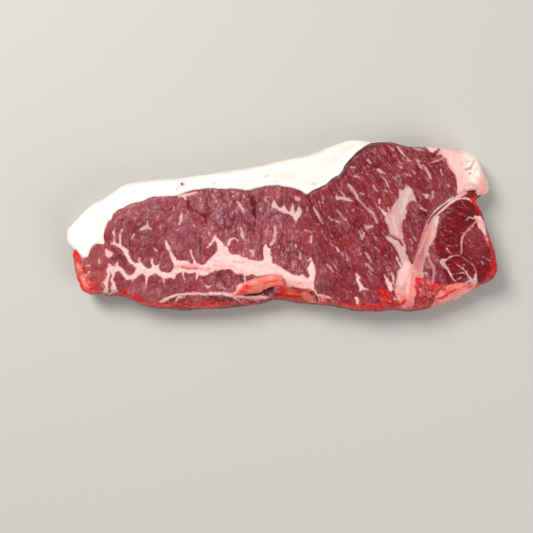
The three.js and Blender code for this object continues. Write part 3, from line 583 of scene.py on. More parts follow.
# Washes of blood and wet raw edges: they colour lean and fat alike, and are rough and glossy.
BLOOD = [
    ("-108.8,-18,5 -107.2,-22,6 -105.6,-27,6 -103.6,-31,6 -100.5,-33,4", (182, 20, 24), 0.8),
    ("-111,-15,4 -110.2,-19,5 -108.8,-24,5.4 -107,-28.5,5.4 -104.6,-32.5,5.6 -101.6,-34.8,5 "
     "-97.4,-35.6,3.4", (255, 40, 24), 0.97),
    # Pale tissue on the tail's raw end, partly a painted highlight.
    ("-108.8,-20,1.6 -107.4,-26,2.2 -105.4,-30.5,1.8 -103,-33,1.4", (255, 160, 138), 0.7),
    ("-110.5,-15.8,2 -108.5,-16,1.8", (232, 6, 10), 0.9),
    ("-87.6,-36,2.2 -84,-36.8,3.6 -80,-38.6,4 -75,-41.2,4.2 -70,-43,5 -64,-44.4,6.4 -55,-44.8,7.6 "
     "-42,-44.8,8.4 -30,-44.4,7.8 -20,-42.8,6 -12,-41.4,3", (255, 0, 8), 0.98),
    ("-62,-43.6,1.6 -50,-44,2 -36,-43.6,1.6", (255, 40, 44), 0.6),
    ("-64,-42.5,1.2 -58,-42,1.4 -50,-42.5,1.2", (246, 96, 92), 0.55),
    ("-27,-41.2,1.2 -20,-40.6,1.4 -12,-40.2,1.2", (236, 130, 124), 0.6),
    ("52.5,-35,3 55,-37.5,6.5 56.5,-41,6", (224, 0, 2), 0.98),
    ("57.5,-38.5,1.6 59.5,-41,2", CLOT_RED, 0.8),
    ("24,-41,3 30,-42.5,4 38,-43.6,4.4 46,-44,4.6 54,-44,4.6", (226, 4, 16), 0.95),
    ("55,-26,1 55.6,-28,1.4", (220, 30, 30), 0.8),
    ("74,-31,5 76.5,-35.5,9 78,-40,8", (172, 2, 8), 0.93),
    ("71.8,-29.4,2.6 75,-30.2,3.6 78.5,-31.5,3.6 82,-32.6,3.2 86,-33.4,2.2", (232, 2, 8), 0.97),
    ("72.5,-33,3.4 73,-38.5,3.4", (206, 8, 14), 0.92),
    ("80.5,-34.5,2.6 82.5,-37,2.8", (230, 8, 14), 0.92),
    ("75,-38.5,4 79.5,-40.5,4", (190, 0, 4), 0.95),
    ("72.5,-42,2.6 76.5,-43,2.6", (232, 74, 70), 0.8),
    ("82,-40.5,2.4 84.5,-42,2.4", (238, 110, 102), 0.7),
    ("62.4,-43.6,1.6 64.6,-41.6,2 66.4,-40,1.2", (214, 12, 18), 0.9),
    ("74.5,-31.5,1.4 75.5,-33,1.2", (120, 0, 6), 0.85),
    ("78.8,-33.5,1.2 80,-34.6,1.2", (124, 0, 6), 0.8),
    ("75.6,-37.5,1.6 77,-38.8,1.4", (104, 0, 6), 0.85),
    ("79,-39.5,1.4 80.4,-40.8,1.2", (112, 0, 6), 0.85),
    ("53.2,-37,1 54.2,-38.6,1", (150, 0, 6), 0.8),
    ("73,-34.4,1.4 73.4,-37.5,1.2", (242, 110, 104), 0.85),
    ("77.2,-30.6,1.1 78.6,-31.4,1.2", (244, 120, 112), 0.8),
    ("77.6,-35.6,1.4 80.8,-36.4,1.4", (238, 104, 98), 0.8),
    ("71.8,-40,1.3 73.6,-41.4,1.4", (238, 112, 106), 0.85),
    # Painted highlight: a pale glint on the wet clot.
    ("56.5,-39.6,0.9 57.4,-40.8,1", (246, 130, 120), 0.85),
    ("57,-43.8,3 62,-44.4,2.6", (214, 10, 16), 0.9),
    ("62.5,-44.2,2.4 66,-45,2.8 69,-44.6,2.4", (222, 78, 70), 0.85),
    ("59.5,-41,3 61.5,-43,3", (206, 12, 18), 0.85),
    ("71,-45,3 76,-45.4,3 81,-44,2.4", (214, 24, 28), 0.9),
    ("83.6,-39,1.4 86,-38,1.9 88,-36.8,1.7 90,-35.5,1.4 91.8,-34.2,1", (240, 6, 12), 0.95),
    ("109.4,-6,2 110.4,-9,2.6 112,-13,3.6 113.2,-20,4.6 112.6,-25,4.8 109.6,-30,4.4 "
     "105,-33,3.4", (204, 10, 16), 0.9),
    ("101.5,13,2 104,9.5,2.2 105.5,5.5,1.8", (232, 20, 24), 0.85),
    ("102.2,15.4,1.8 103,13.8,2.4", (232, 10, 14), 0.95),
    ("-53.5,-22.7,0.9 -50,-22.9,0.8 -45,-23,0.7", (196, 36, 44), 0.8),
    ("9.2,-31,0.8 9.6,-31,0.8", (214, 60, 60), 0.7),
    ("-20,-37.3,1 -12,-37,1.2", (190, 24, 30), 0.7),
    ("24,-39.5,1.2 25,-39.8,1.2", CLOT_RED, 0.8),
    ("21.2,-40.7,4.2 22,-40.7,4.2", (255, 112, 100), 0.95),
    ("21.6,-41,1.3 22,-41,1.3", (255, 50, 46), 0.8),
    ("-53.6,21.9,0.9 -53,21.5,0.9", (70, 4, 22), 1),
    ("-55.9,19.3,0.8 -55.7,19.2,0.8", (206, 50, 60), 0.8),
]
# The bundles of fibres on the left, in the middle, on the right and in the corner muscle:
# their direction in degrees, length, breadth, and how strongly they show.
BUNDLES = [(75, 3.8, 3.0, 0.6), (86, 5.4, 3.0, 1.0), (-60, 8.5, 2.4, 0.7), (-12, 6, 2.2, 0.6)]
# The single fibres of the same four muscles: their direction in degrees, length and breadth.
FIBRES = [(70, 4.2, 3.0), (84, 6.0, 2.6), (-60, 8.0, 2.4), (-12, 6.0, 2.2)]
# The stretches of x over which each muscle gives way to the next.
MIDDLE_STARTS = (-62, -36)
RIGHT_STARTS = (4, 22)
CORNER_STARTS = (74, 80)
SLIT_AT = 77  # x where the line of the long slit crosses y = 0
# The wet edge of the tail stands out by so much along this strand.
TAIL_RIM = path("-110.5,-17,6 -109,-23,8 -106.5,-29,8 -103,-34,6")
TAIL_RIM_OUT = 1.7
BEAD = (21.6, -40.5, 2.3, 2.4)  # x, y, radius and rise of the bead of fat on the lower edge
BEAD_SPREAD = path("21.4,-41,5 21.8,-41,5")
# Faint marks on the white cap.
CAP_WASHES = [
    ("-54,21.5,3 -52.6,22,3", (219, 178, 181), 0.7),
    ("-97,12.6,1.4 -95,14.2,1.6", (216, 168, 158), 0.6),
    ("-37,22,0.8 -35,22.2,0.8", (212, 184, 184), 0.6),
    ("-8.5,26.3,1.4 -7.5,26.3,1.4", (216, 196, 170), 0.7),
    ("1,26,3 5,26,3", (232, 218, 208), 0.8),
    ("-3.5,23,1.6 -1.5,23,1.6", (220, 196, 190), 0.6),
    ("16,22,1.8 18,22,1.8", (214, 190, 180), 0.6),
    ("28,41,3 44,44,3", (234, 226, 208), 0.8),
    ("20,31,6 34,38,5", (236, 232, 222), 0.6),
]


# ---------------------------------------------------------------- helpers for fields over the surface
def linear(seen):
    """A colour seen as 0-255 display values, as linear light."""
    c = np.asarray(seen, float) / 255
    return np.where(c <= 0.04045, c / 12.92, ((c + 0.055) / 1.055) ** 2.4)


def ease(low, high, value):
    """0 below `low`, 1 above `high`, and a smooth ramp between them."""
    t = np.clip((value - low) / (high - low), 0, 1)
    return t * t * (3 - 2 * t)


def bumps(seed, place, size):
    """Smooth seeded noise at each place, from -1 to 1, with bumps about `size` millimetres apart."""
    lattice = np.random.default_rng(seed).uniform(-1, 1, (LATTICE_SIDE,) * 3)
    at = place / size @ LATTICE_TURN
    cell = np.floor(at).astype(int)
    part = ease(0, 1, at - cell)
    total = np.zeros(len(at))
    for corner in np.ndindex(2, 2, 2):
        weight = np.prod(np.where(corner, part, 1 - part), axis=1)
        total += weight * lattice[tuple(((cell + corner) % LATTICE_SIDE).T)]
    return total


def wander(seeds, place, size):
    """Seeded noise at each place, in as many columns as there are seeds."""
    return np.stack([bumps(seed, place, size) for seed in seeds], axis=1)


def smooth_outline(corners):
    """A closed outline's corner points joined by a centripetal Catmull-Rom curve."""
    corners = np.asarray(corners, float)
    curve = []
    count = len(corners)
    for i in range(count):
        p0, p1, p2, p3 = (corners[(i + k) % count] for k in (-1, 0, 1, 2))
        t1 = np.linalg.norm(p1 - p0) ** 0.5
        t2 = t1 + np.linalg.norm(p2 - p1) ** 0.5
        t3 = t2 + np.linalg.norm(p3 - p2) ** 0.5
        steps = max(1, math.ceil(np.linalg.norm(p2 - p1) / CURVE_STEP))
        for t in t1 + (t2 - t1) * np.arange(steps) / steps:
            a1 = (p0 * (t1 - t) + p1 * t) / t1
            a2 = (p1 * (t2 - t) + p2 * (t - t1)) / (t2 - t1)
            a3 = (p2 * (t3 - t) + p3 * (t - t2)) / (t3 - t2)
            b1 = (a1 * (t2 - t) + a2 * t) / t2
            b2 = (a2 * (t3 - t) + a3 * (t - t1)) / (t3 - t1)
            curve.append((b1 * (t2 - t) + b2 * (t - t1)) / (t2 - t1))
    return np.array(curve)


def near(at, points, reach):
    """The numbers of the points of `at` that lie in the box round `points`, grown by `reach`."""
    low, high = points.min(0) - reach, points.max(0) + reach
    return np.flatnonzero(((at > low) & (at < high)).all(1))


def area_depth(at, corners):
    """How deep inside a closed outline each point lies, and less than nothing outside it."""
    outline = smooth_outline(corners)
    found = near(at, outline, REACH)
    p = at[found]
    nearest = np.full(len(p), REACH**2)
    inside = np.zeros(len(p), bool)
    for a, b in zip(outline, np.roll(outline, -1, axis=0)):
        along = b - a
        t = np.clip((p - a) @ along / (along @ along), 0, 1)
        np.minimum(nearest, ((p - a - t[:, None] * along) ** 2).sum(1), out=nearest)
        crosses = (a[1] > p[:, 1]) != (b[1] > p[:, 1])
        inside ^= crosses & (p[:, 0] < a[0] + (p[:, 1] - a[1]) * along[0] / (along[1] or 1))
    depth = np.full(len(at), -REACH)
    depth[found] = np.where(inside, 1, -1) * np.sqrt(nearest)
    return depth


def strand_depth(at, strand):
    """How deep inside a tapering strand each point lies, and less than nothing outside it."""
    strand = np.asarray(strand, float)
    found = near(at, strand[:, :2], REACH + strand[:, 2].max())
    p = at[found]
    best = np.full(len(p), -REACH)
    for a, b in zip(strand, strand[1:]):
        along = b[:2] - a[:2]
        t = np.clip((p - a[:2]) @ along / (along @ along), 0, 1)
        gap = np.sqrt(((p - a[:2] - t[:, None] * along) ** 2).sum(1))
        np.maximum(best, (a[2] + t * (b[2] - a[2])) / 2 - gap, out=best)
    depth = np.full(len(at), -REACH)
    depth[found] = best
    return depth


def deepest(at, measure, shapes):
    """The greatest depth of each point in any of the shapes."""
    depth = np.full(len(at), -REACH)
    for shape in shapes:
        np.maximum(depth, measure(at, shape), out=depth)
    return depth


def arc(centre, radius, start, end):
    """A thin strand along an arc, its angles in degrees."""
    angles = np.radians(np.linspace(start, end, 2 + round(radius * 3)))
    return [(centre[0] + radius * np.cos(a), centre[1] + radius * np.sin(a), SWIRL_WIDTH) for a in angles]


def blend_in(layer, share, colour):
    """Mixes a colour into a layer of colours, by each point's share of it."""
    layer += share[:, None] * (linear(colour) - layer)


def wash(layer, at, ragged, written, colour, strength, softness=WASH_SOFTNESS):
    """Mixes a colour into a layer along a strand with soft, ragged edges. Returns each point's share."""
    strand = path(written)
    widest = max(width for x, y, width in strand)
    edge = softness * widest / 2
    wandering = WASH_WANDER * min(widest, MOST_RAGGED) * ragged
    share = strength * ease(-edge, edge, strand_depth(at, strand) + wandering)
    blend_in(layer, share, colour)
    return share


def along_fibres(place, degrees, length, breadth):
    """Places turned so that x runs along a fibre direction, with one unit to each bundle of fibres."""
    angle = math.radians(degrees)
    x, y, z = place.T
    along = x * math.cos(angle) + y * math.sin(angle)
    across = y * math.cos(angle) - x * math.sin(angle)
    return np.stack([along / length, across / breadth, z / breadth], axis=1)


def bundle_gaps(cells):
    """How far each point is from the crease between two bundles of fibres, in cells, 0 in the crease."""
    gaps = np.empty(len(cells))
    for i, cell in enumerate(cells):
        (nearest, second, *others), points = noise.voronoi(cell)
        gaps[i] = second - nearest
    return gaps


def swelling(depth, rise, slope):
    """How high a rounded rim stands: from 0 at its edge to `rise` a few times `slope` further in."""
    return rise * (1 - np.exp(-np.clip(depth, 0, REACH) / slope))


# ---------------------------------------------------------------- the piece's mesh
def evaluated_mesh(piece):
    """The piece's mesh as its modifiers leave it, which takes the place of the one that it had."""
    bpy.context.view_layer.update()
    mesh = bpy.data.meshes.new_from_object(piece.evaluated_get(bpy.context.evaluated_depsgraph_get()))
    piece.modifiers.clear()
    piece.vertex_groups.clear()
    piece.data = mesh
    return mesh


def even_copy(node):
    """A copy of a CAD node's mesh, remeshed to an even grid and smoothed until no facet shows."""
    piece = bpy.data.objects.new("steak_meat", node.data.copy())
    bpy.context.scene.collection.objects.link(piece)
    remesh = piece.modifiers.new("even", "REMESH")
    remesh.mode = "VOXEL"
    remesh.voxel_size = GRID * MM
    soften = piece.modifiers.new("soften", "SMOOTH")
    soften.factor = 0.5
    soften.iterations = EVEN_PASSES
    evaluated_mesh(piece).materials.clear()
    return piece


def hollow_underside(mesh):
    """Presses shallow hollows into the flat underside, which still rests on what is between them."""
    place = read_points(mesh) / MM
    flat = ease(-0.8, -0.97, read_points(mesh, "normal")[:, 2])
    hollows = 0.5 + 0.35 * bumps(48, place, 2.6) + 0.4 * bumps(49, place, 8)
    place[:, 2] += HOLLOWS * flat * np.clip(hollows, 0, 1)
    write_points(mesh, place)


def thin_out(piece):
    """Leaves fewer triangles on the sides and on the underside, and the top as fine as it was."""
    for name, steepest, flattest, wanted in (
        ("side", -0.7, 0.2, SIDE_TRIANGLES), ("underside", -1.1, -0.7, UNDERSIDE_TRIANGLES)
    ):
        rise = read_points(piece.data, "normal")[:, 2]
        found = np.flatnonzero((rise > steepest) & (rise <= flattest))
        group = piece.vertex_groups.new(name=name)
        group.add(found.tolist(), 1.0, "REPLACE")
        # A closed mesh has two triangles for each point.
        triangles = sum(len(face.vertices) - 2 for face in piece.data.polygons)
        fewer = piece.modifiers.new("fewer", "DECIMATE")
        fewer.vertex_group = name
        fewer.ratio = 1 - (2 * len(found) - wanted) / triangles
        evaluated_mesh(piece)


def read_points(mesh, of="co"):
    """The mesh's points or their normals, as rows of x, y, z."""
    values = np.empty(len(mesh.vertices) * 3, np.float32)
    mesh.vertices.foreach_get(of, values)
    return values.reshape(-1, 3).astype(float)


def write_points(mesh, place):
    """Moves the mesh's points to places given in millimetres."""
    mesh.vertices.foreach_set("co", (place * MM).astype(np.float32).ravel())
    mesh.update()


def store(mesh, name, values):
    """Keeps three values for each point as a vector attribute for the material."""
    attribute = mesh.attributes.new(name, "FLOAT_VECTOR", "POINT")
    attribute.data.foreach_set("vector", values.astype(np.float32).ravel())


class Surface:
    """What lies at each point of the steak's surface: fat, lean, blood, cuts and the grain's direction."""

    def __init__(self, place, normal):
        self.place = place
        self.up = ease(0.2, 0.65, normal[:, 2])
        self.side = ease(0.75, 0.35, np.abs(normal[:, 2]))
        # The pattern of the cut face wanders a little on its way down through the steak.
        deeper = ease(0.15, 1.0, (THICKNESS - place[:, 2]) / THICKNESS)[:, None]
        self.at = place[:, :2] + PATTERN_WANDER * wander((11, 12), place, 9) * deeper
        self.at = self.at + PATTERN_RIPPLE * wander((19, 20), place, 2.4)
        self.ragged = bumps(14, place, 1.9) + 0.5 * bumps(15, place, 0.9)
        self.find_fat()
        self.find_cuts()
        self.find_membrane_shade()
        self.find_grain()
        self.find_creases()
        self.paint()

    def find_fat(self):
        """How deep each point lies in the cap, the seams and the flecks, and where the raw side begins."""
        at = self.at
        lobe = area_depth(at, LOBE)
        # The fat of the corner and the shelf, and the bead, reach further down the side than the rest.
        reaching = np.maximum(area_depth(at, CORNER_FAT), area_depth(at, SHELF))
        reaching = np.maximum(reaching, strand_depth(at, BEAD_SPREAD))
        below = THICKNESS - self.place[:, 2] + 2.5 * bumps(33, self.place, 4)
        below = below - FAT_DOWN_SIDE * ease(-2, 1.5, reaching)
        self.wall = self.side * ease(WALL_BEGINS, WALL_WHOLE, below) * ease(0.5, -0.5, lobe)
        self.cap = area_depth(at, CAP_EDGE + CAP_OUTSIDE)
        self.areas = [area_depth(at, outline) for outline, colour in SEAMS]
        seam = np.max(self.areas, axis=0)
        seam = np.maximum(seam, deepest(at, strand_depth, STRANDS) + STRANDS_WIDER)
        seam = np.maximum(seam, deepest(at, strand_depth, CORNER_STRANDS))
        seam = np.maximum(seam - THINNER - NOT_ON_WALL * self.wall, lobe - THINNER)
        island = deepest(at, area_depth, LEAN_ISLANDS)
        self.seam = np.where(self.cap > -0.4, np.minimum(seam, -self.cap), np.minimum(seam, -island))
        faint = FLECKS_FAINT + [arc(SWIRL_AT, *swirl) for swirl in SWIRLS]
        flecks = np.maximum(deepest(at, strand_depth, FLECKS), deepest(at, strand_depth, faint) - FAINTER)
        self.fleck = np.minimum(flecks, -self.cap) - NOT_ON_WALL * self.wall
        self.fat = np.maximum(np.maximum(self.seam, self.fleck), self.cap)

    def find_cuts(self):
        """How deep the slits and fissures are, and how much shade is painted inside them."""
        self.cut = np.zeros(len(self.at))
        self.slit_shade = np.zeros(len(self.at))
        self.fissure_shade = np.zeros(len(self.at))
        for written, deep, shade_inside in SLITS:
            depth = strand_depth(self.at, path(written))
            self.cut = np.maximum(self.cut, ease(-0.25, 0.25, depth) * deep)
            self.slit_shade = np.maximum(self.slit_shade, ease(-0.4, 0, depth) * shade_inside)
        for written, deep, shade_inside in FISSURES:
            depth = strand_depth(self.at, path(written))
            self.cut = np.maximum(self.cut, ease(-0.5, 0.5, depth) * deep * FISSURE_DEPTH)
            self.fissure_shade = np.maximum(self.fissure_shade, ease(-0.5, 0.2, depth) * shade_inside)

    def find_membrane_shade(self):
        """The band along the cap, brown membrane with painted shade below the lean's step: broad on the
        right, and a thin rim of painted shadow further left.
        """
        x = self.at[:, 0]
        outline = [(x, y) for x, y in CAP_EDGE if x >= MEMBRANE_SHADE_START] + MEMBRANE_SHADE_EDGE
        broad = ease(-0.5, 0.4, area_depth(self.at, outline))
        # Its right end is a little fainter.
        broad *= 1 - 0.09 * ease(41, 47, x)
        rim = [(x, y, SHADOW_RIM_WIDTH) for x, y in CAP_EDGE if SHADOW_RIM_START < x <= MEMBRANE_SHADE_START + 1]
        thin = ease(-0.5, 0.35, strand_depth(self.at, rim)) * ease(-70, -40, x) * SHADOW_RIM_STRENGTH
        self.membrane_shade = np.maximum(broad, thin)

    def find_grain(self):
        """Each point's share of the muscles in the middle, on the right and in the corner."""
        x, y = self.at.T
        wobble = 4 * bumps(13, self.place, 14)
        # How far each point lies beyond the slanted line that the long slit runs along.
        beyond_slit = (x - SLIT_AT) * 0.72 - y * 0.69
        self.corner = ease(-1.5, 2.5, beyond_slit + 0.2 * wobble)
        self.corner *= ease(*CORNER_STARTS, x + 0.3 * y * (y < 0))
        self.right = ease(*RIGHT_STARTS, x + wobble + 0.3 * y) * (1 - self.corner)
        self.middle = ease(*MIDDLE_STARTS, x + wobble) * (1 - self.right) * (1 - self.corner)

    def find_creases(self):
        """The creases between bundles of fibres, and the swell of each bundle."""
        bend = 0.35 * wander((16, 17), self.place, 3.5)
        left = 1 - self.middle - self.right - self.corner
        self.swell = np.zeros(len(self.at))
        self.crease = np.zeros(len(self.at))
        for share, (degrees, length, breadth, strength) in zip(
            (left, self.middle, self.right, self.corner), BUNDLES
        ):
            found = np.flatnonzero(share > 0)
            cells = along_fibres(self.place[found], degrees, length, breadth)
            cells[:, :2] += bend[found]
            gaps = bundle_gaps(cells)
            self.swell[found] += share[found] * strength * (1 - np.exp(-gaps / BUNDLE_SLOPE))
            self.crease[found] += share[found] * strength * np.exp(-((gaps / CREASE_WIDTH) ** 2))
        deeper = ease(-0.55, 0.35, bumps(18, self.place, 8))
        # The narrow tail is smooth.
        self.crease *= deeper * ease(-95, -86, self.at[:, 0])
        self.crease = np.maximum(self.crease, self.fissure_shade) * ease(0, -0.8, self.fat)

    def plain(self, colour):
        """A layer of one colour all over."""
        return np.repeat(linear(colour)[None], len(self.at), axis=0)

    def paint(self):
        """The colours of lean and fat at each point, where it is wet with blood, and where a sheen is
        painted into the colour.
        """
        fat, lean = self.paint_fat(), self.paint_lean()
        self.wet = np.zeros(len(self.at))
        for written, colour, strength in BLOOD:
            for layer in (fat, lean):
                share = wash(layer, self.at, self.ragged, written, colour, strength, BLOOD_SOFTNESS)
            self.wet = np.maximum(self.wet, share)
        self.wet *= 1 - self.wall
        self.paint_wall(lean)
        self.painted_sheen = ease(-1.5, 1.5, deepest(self.at, strand_depth, PAINTED_SHEENS) + 1.5 * self.ragged)
        self.fat_tint, self.lean_tint = fat, lean

    def paint_lean(self):
        x, y = self.at.T
        lean = self.plain(LEAN_LEFT)
        tail = ease(-88, -95, x) * ease(-4, -10, y)
        shares = (self.middle, self.right, self.corner, tail)
        for share, colour in zip(shares, (LEAN_MIDDLE, LEAN_RIGHT, LEAN_CORNER, LEAN_TAIL)):
            blend_in(lean, share, colour)
        for written, colour, strength in LEAN_WASHES:
            wash(lean, self.at, self.ragged, written, colour, strength)
        return lean

    def paint_fat(self):
        fat = self.plain(STRAND_FAT)
        for depth, (outline, colour) in zip(self.areas, SEAMS):
            blend_in(fat, ease(-1.2, 0.6, depth), colour)
        for written, colour, strength in FAT_WASHES:
            wash(fat, self.at, self.ragged, written, colour, strength)
        veins = ease(0.15, 0.75, bumps(46, self.place, (2.6, 1.2, 1.2)) + 0.3 * self.ragged)
        veined = ease(0.1, 0.6, np.maximum(self.areas[FLAP_SEAM], self.areas[CORNER_SEAM]))
        blend_in(fat, veined * veins * VEINS_SHOW, VEIN_RED)
        fat += ease(-0.3, 0.3, self.cap)[:, None] * (self.paint_cap() - fat)
        return fat

    def paint_cap(self):
        cap = self.plain(WHITE_FAT)
        for written, colour, strength in CAP_WASHES:
            wash(cap, self.at, self.ragged, written, colour, strength, CAP_SOFTNESS)
        creamy = ease(0.0, 0.7, bumps(37, self.place, (9, 9, 6))) * (0.25 + 0.6 * self.side)
        blushing = ease(0.15, 0.8, bumps(38, self.place, (7, 7, 4))) * BLUSH_SHOWS * self.side
        blend_in(cap, self.side * SIDE_SHADE, SHADED_FAT)
        blend_in(cap, creamy, CREAM_FAT)
        blend_in(cap, blushing, BLUSH)
        fringe = ease(1.6, 0.2, self.cap) * ease(MEMBRANE_SHADE_START, MEMBRANE_SHADE_START - 4, self.at[:, 0])
        fringe = fringe * (0.6 + 0.4 * self.ragged)
        blend_in(cap, np.clip(fringe, 0, 1) * FRINGE_SHOWS, FRINGE_PINK)
        return cap

    def paint_wall(self, lean):
        """Dark and bright flesh and pale skin on the sides, from noise bent so that no block shows."""
        bent = self.place + wander((42, 43, 44), self.place, 2.8) * (2.4, 2.4, 0.9)
        flesh = bumps(34, bent, (5, 5, 3.5)) + 0.6 * bumps(35, bent, (17, 17, 12))
        flesh = flesh + 0.35 * bumps(45, bent, (1.6, 1.6, 1.2))
        skin = bumps(36, bent, (13, 13, 1.6)) + 0.4 * bumps(39, bent, (3, 3, 0.8))
        blend_in(lean, self.wall, SIDE_DARK)
        blend_in(lean, self.wall * ease(-0.5, 0.5, flesh), SIDE_RED)
        blend_in(lean, self.wall * ease(0.2, 0.6, skin) * SKIN_SHOWS, SKIN_PINK)


def carve(s):
    """The relief at each point of a Surface: how far it moves out from the smooth copy."""
    place = s.place
    lean = ease(0.3, -0.4, s.fat)
    grain = BUNDLE_RISE * s.swell - CREASE_DEPTH * s.crease + GRAIN_RISE * bumps(24, place, 1.2)
    rolling = ROLL_RISE * bumps(25, place, 11) + 0.1 * bumps(26, place, 5)
    height = rolling + lean * grain + swelling(-s.fat, *LEAN_SWELL)
    height += swelling(s.fat, *FAT_SWELL) * (1 - lean)
    flap = FLAP_RISE + 0.5 * bumps(31, place, 1.8) + 0.4 * bumps(32, place, 3.6)
    height += ease(-0.1, 1.4, area_depth(s.at, FLAP)) * flap
    height -= s.cut
    bead_x, bead_y, bead_r, bead_rise = BEAD
    height += bead_rise * np.sqrt(np.clip(1 - ((s.at - (bead_x, bead_y)) ** 2).sum(1) / bead_r**2, 0, 1))
    crags = 0.6 * bumps(27, place, 1.5) + 0.5 * bumps(28, place, 3.1)
    height += s.wet * crags * CRAG_RISE

    flesh = 0.6 * bumps(29, place, (7, 7, 3)) + 0.35 * bumps(30, place, (2.6, 2.6, 1.4))
    fat = 0.75 * bumps(40, place, (10, 10, 5)) + 0.3 * bumps(41, place, (6, 6, 1.7))
    fat = fat + 0.16 * bumps(47, place, 1.5)
    cap_side = ease(-1, 1, s.cap)
    walls = fat * cap_side + flesh * (1 - cap_side)
    rim = TAIL_RIM_OUT * ease(-1, 1.5, strand_depth(s.at, TAIL_RIM)) * ease(6, 12, place[:, 2])
    side = (walls + 0.4 * s.wet + rim) * s.side * (1 - s.up)
    foot = ease(0.0, 2.5, place[:, 2])
    return (height * s.up + side) * foot


def section(mesh, height):
    """A mesh's outline at a height, in millimetres, as points that run anticlockwise seen from above."""
    cut = bmesh.new()
    cut.from_mesh(mesh)
    everything = cut.verts[:] + cut.edges[:] + cut.faces[:]
    plane = {"plane_co": (0, 0, height * MM), "plane_no": (0, 0, 1)}
    found = bmesh.ops.bisect_plane(cut, geom=everything, **plane)["geom_cut"]
    edges = {part for part in found if isinstance(part, bmesh.types.BMEdge)}
    first = max((edge.verts[0] for edge in edges), key=lambda corner: corner.co.x)
    outline = []
    corner, came = first, None
    while not outline or corner != first:
        outline.append(corner.co[:2])
        came = next(edge for edge in corner.link_edges if edge in edges and edge != came)
        corner = came.other_vert(corner)
    cut.free()
    outline = np.array(outline) / MM
    x, y = outline.T
    doubled_area = (x * np.roll(y, -1) - y * np.roll(x, -1)).sum()
    return outline if doubled_area > 0 else outline[::-1]


def along_outline(outline, at):
    """How far along a closed outline each point lies, and the length of the outline."""
    steps = np.roll(outline, -1, axis=0) - outline
    lengths = np.linalg.norm(steps, axis=1)
    starts = np.cumsum(lengths) - lengths
    nearest = np.full(len(at), np.inf)
    along = np.zeros(len(at))
    for a, step, length, start in zip(outline, steps, lengths, starts):
        t = np.clip((at - a) @ step / length**2, 0, 1)
        gap = ((at - a - t[:, None] * step) ** 2).sum(1)
        nearer = gap < nearest
        nearest[nearer] = gap[nearer]
        along[nearer] = start + t[nearer] * length
    return along, lengths.sum()


def lay_flat(mesh, place, rise):
    """Maps the skin as three flat parts at one scale: the top, the underside, and strips of the side."""
    corners = np.empty(len(mesh.loops), np.int32)
    mesh.loops.foreach_get("vertex_index", corners)
    sizes = np.empty(len(mesh.polygons), np.int32)
    mesh.polygons.foreach_get("loop_total", sizes)
    face = np.repeat(np.arange(len(sizes)), sizes)
    first = corners[(np.cumsum(sizes) - sizes)[face]]
    slope = (np.bincount(face, rise[corners]) / sizes)[face]
    low, high = place.min(0), place.max(0)
    at = place[corners]
    flat = (at - low)[:, :2]
    gap = MAP_GAP / MAP_SCALE
    row = high[1] - low[1] + gap

    under = slope < -FACES_UP
    flat[under] = (at[under, :2] * (1, -1) - (low[0], -high[1])) * UNDERSIDE_SHARE + (0, row)
    row += (high[1] - low[1]) * UNDERSIDE_SHARE + gap

    side = np.abs(slope) <= FACES_UP
    used = np.unique(corners[side])
    along = np.zeros(len(place))
    along[used], length = along_outline(section(mesh, THICKNESS / 2)[::2], place[used, :2])
    start = along[first[side]]
    # A face that lies across the outline's start stays whole: its corners are placed from its first one.
    onward = (along[corners[side]] - start + length / 2) % length - length / 2
    strip = start // (length / STRIPS)
    flat[side, 0] = start - strip * length / STRIPS + onward + gap
    flat[side, 1] = at[side, 2] + strip * (THICKNESS + gap) + row
    flat = flat * MAP_SCALE + MAP_GAP
    mesh.uv_layers.new(name=MAP_NAME).data.foreach_set("uv", flat.astype(np.float32).ravel())


def make_meat():
    piece = even_copy(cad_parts["steak"])
    hollow_underside(piece.data)
    thin_out(piece)
    mesh = piece.data
    place = read_points(mesh) / MM
    normal = read_points(mesh, "normal")
    s = Surface(place, normal)
    lay_flat(mesh, place, normal[:, 2])
    moved = place + normal * carve(s)[:, None]
    moved[:, 2] = np.maximum(moved[:, 2], 0)
    write_points(mesh, moved)
    for name, columns in (
        ("depths", (s.seam, s.fleck, s.cap)),
        ("marks", (s.membrane_shade, s.slit_shade, s.wet)),
        ("grain", (s.middle, s.right, s.corner)),
        ("form", (s.crease, s.painted_sheen, s.wall)),
    ):
        store(mesh, name, np.stack(columns, axis=1))
    store(mesh, "lean_tint", s.lean_tint)
    store(mesh, "fat_tint", s.fat_tint)
    for polygon in mesh.polygons:
        polygon.use_smooth = True
    return piece


# ---------------------------------------------------------------- materials
def own(seen):
    """A colour given as 0-255 display values, as red, green, blue and alpha in linear light."""
    return (*linear(seen), 1.0)


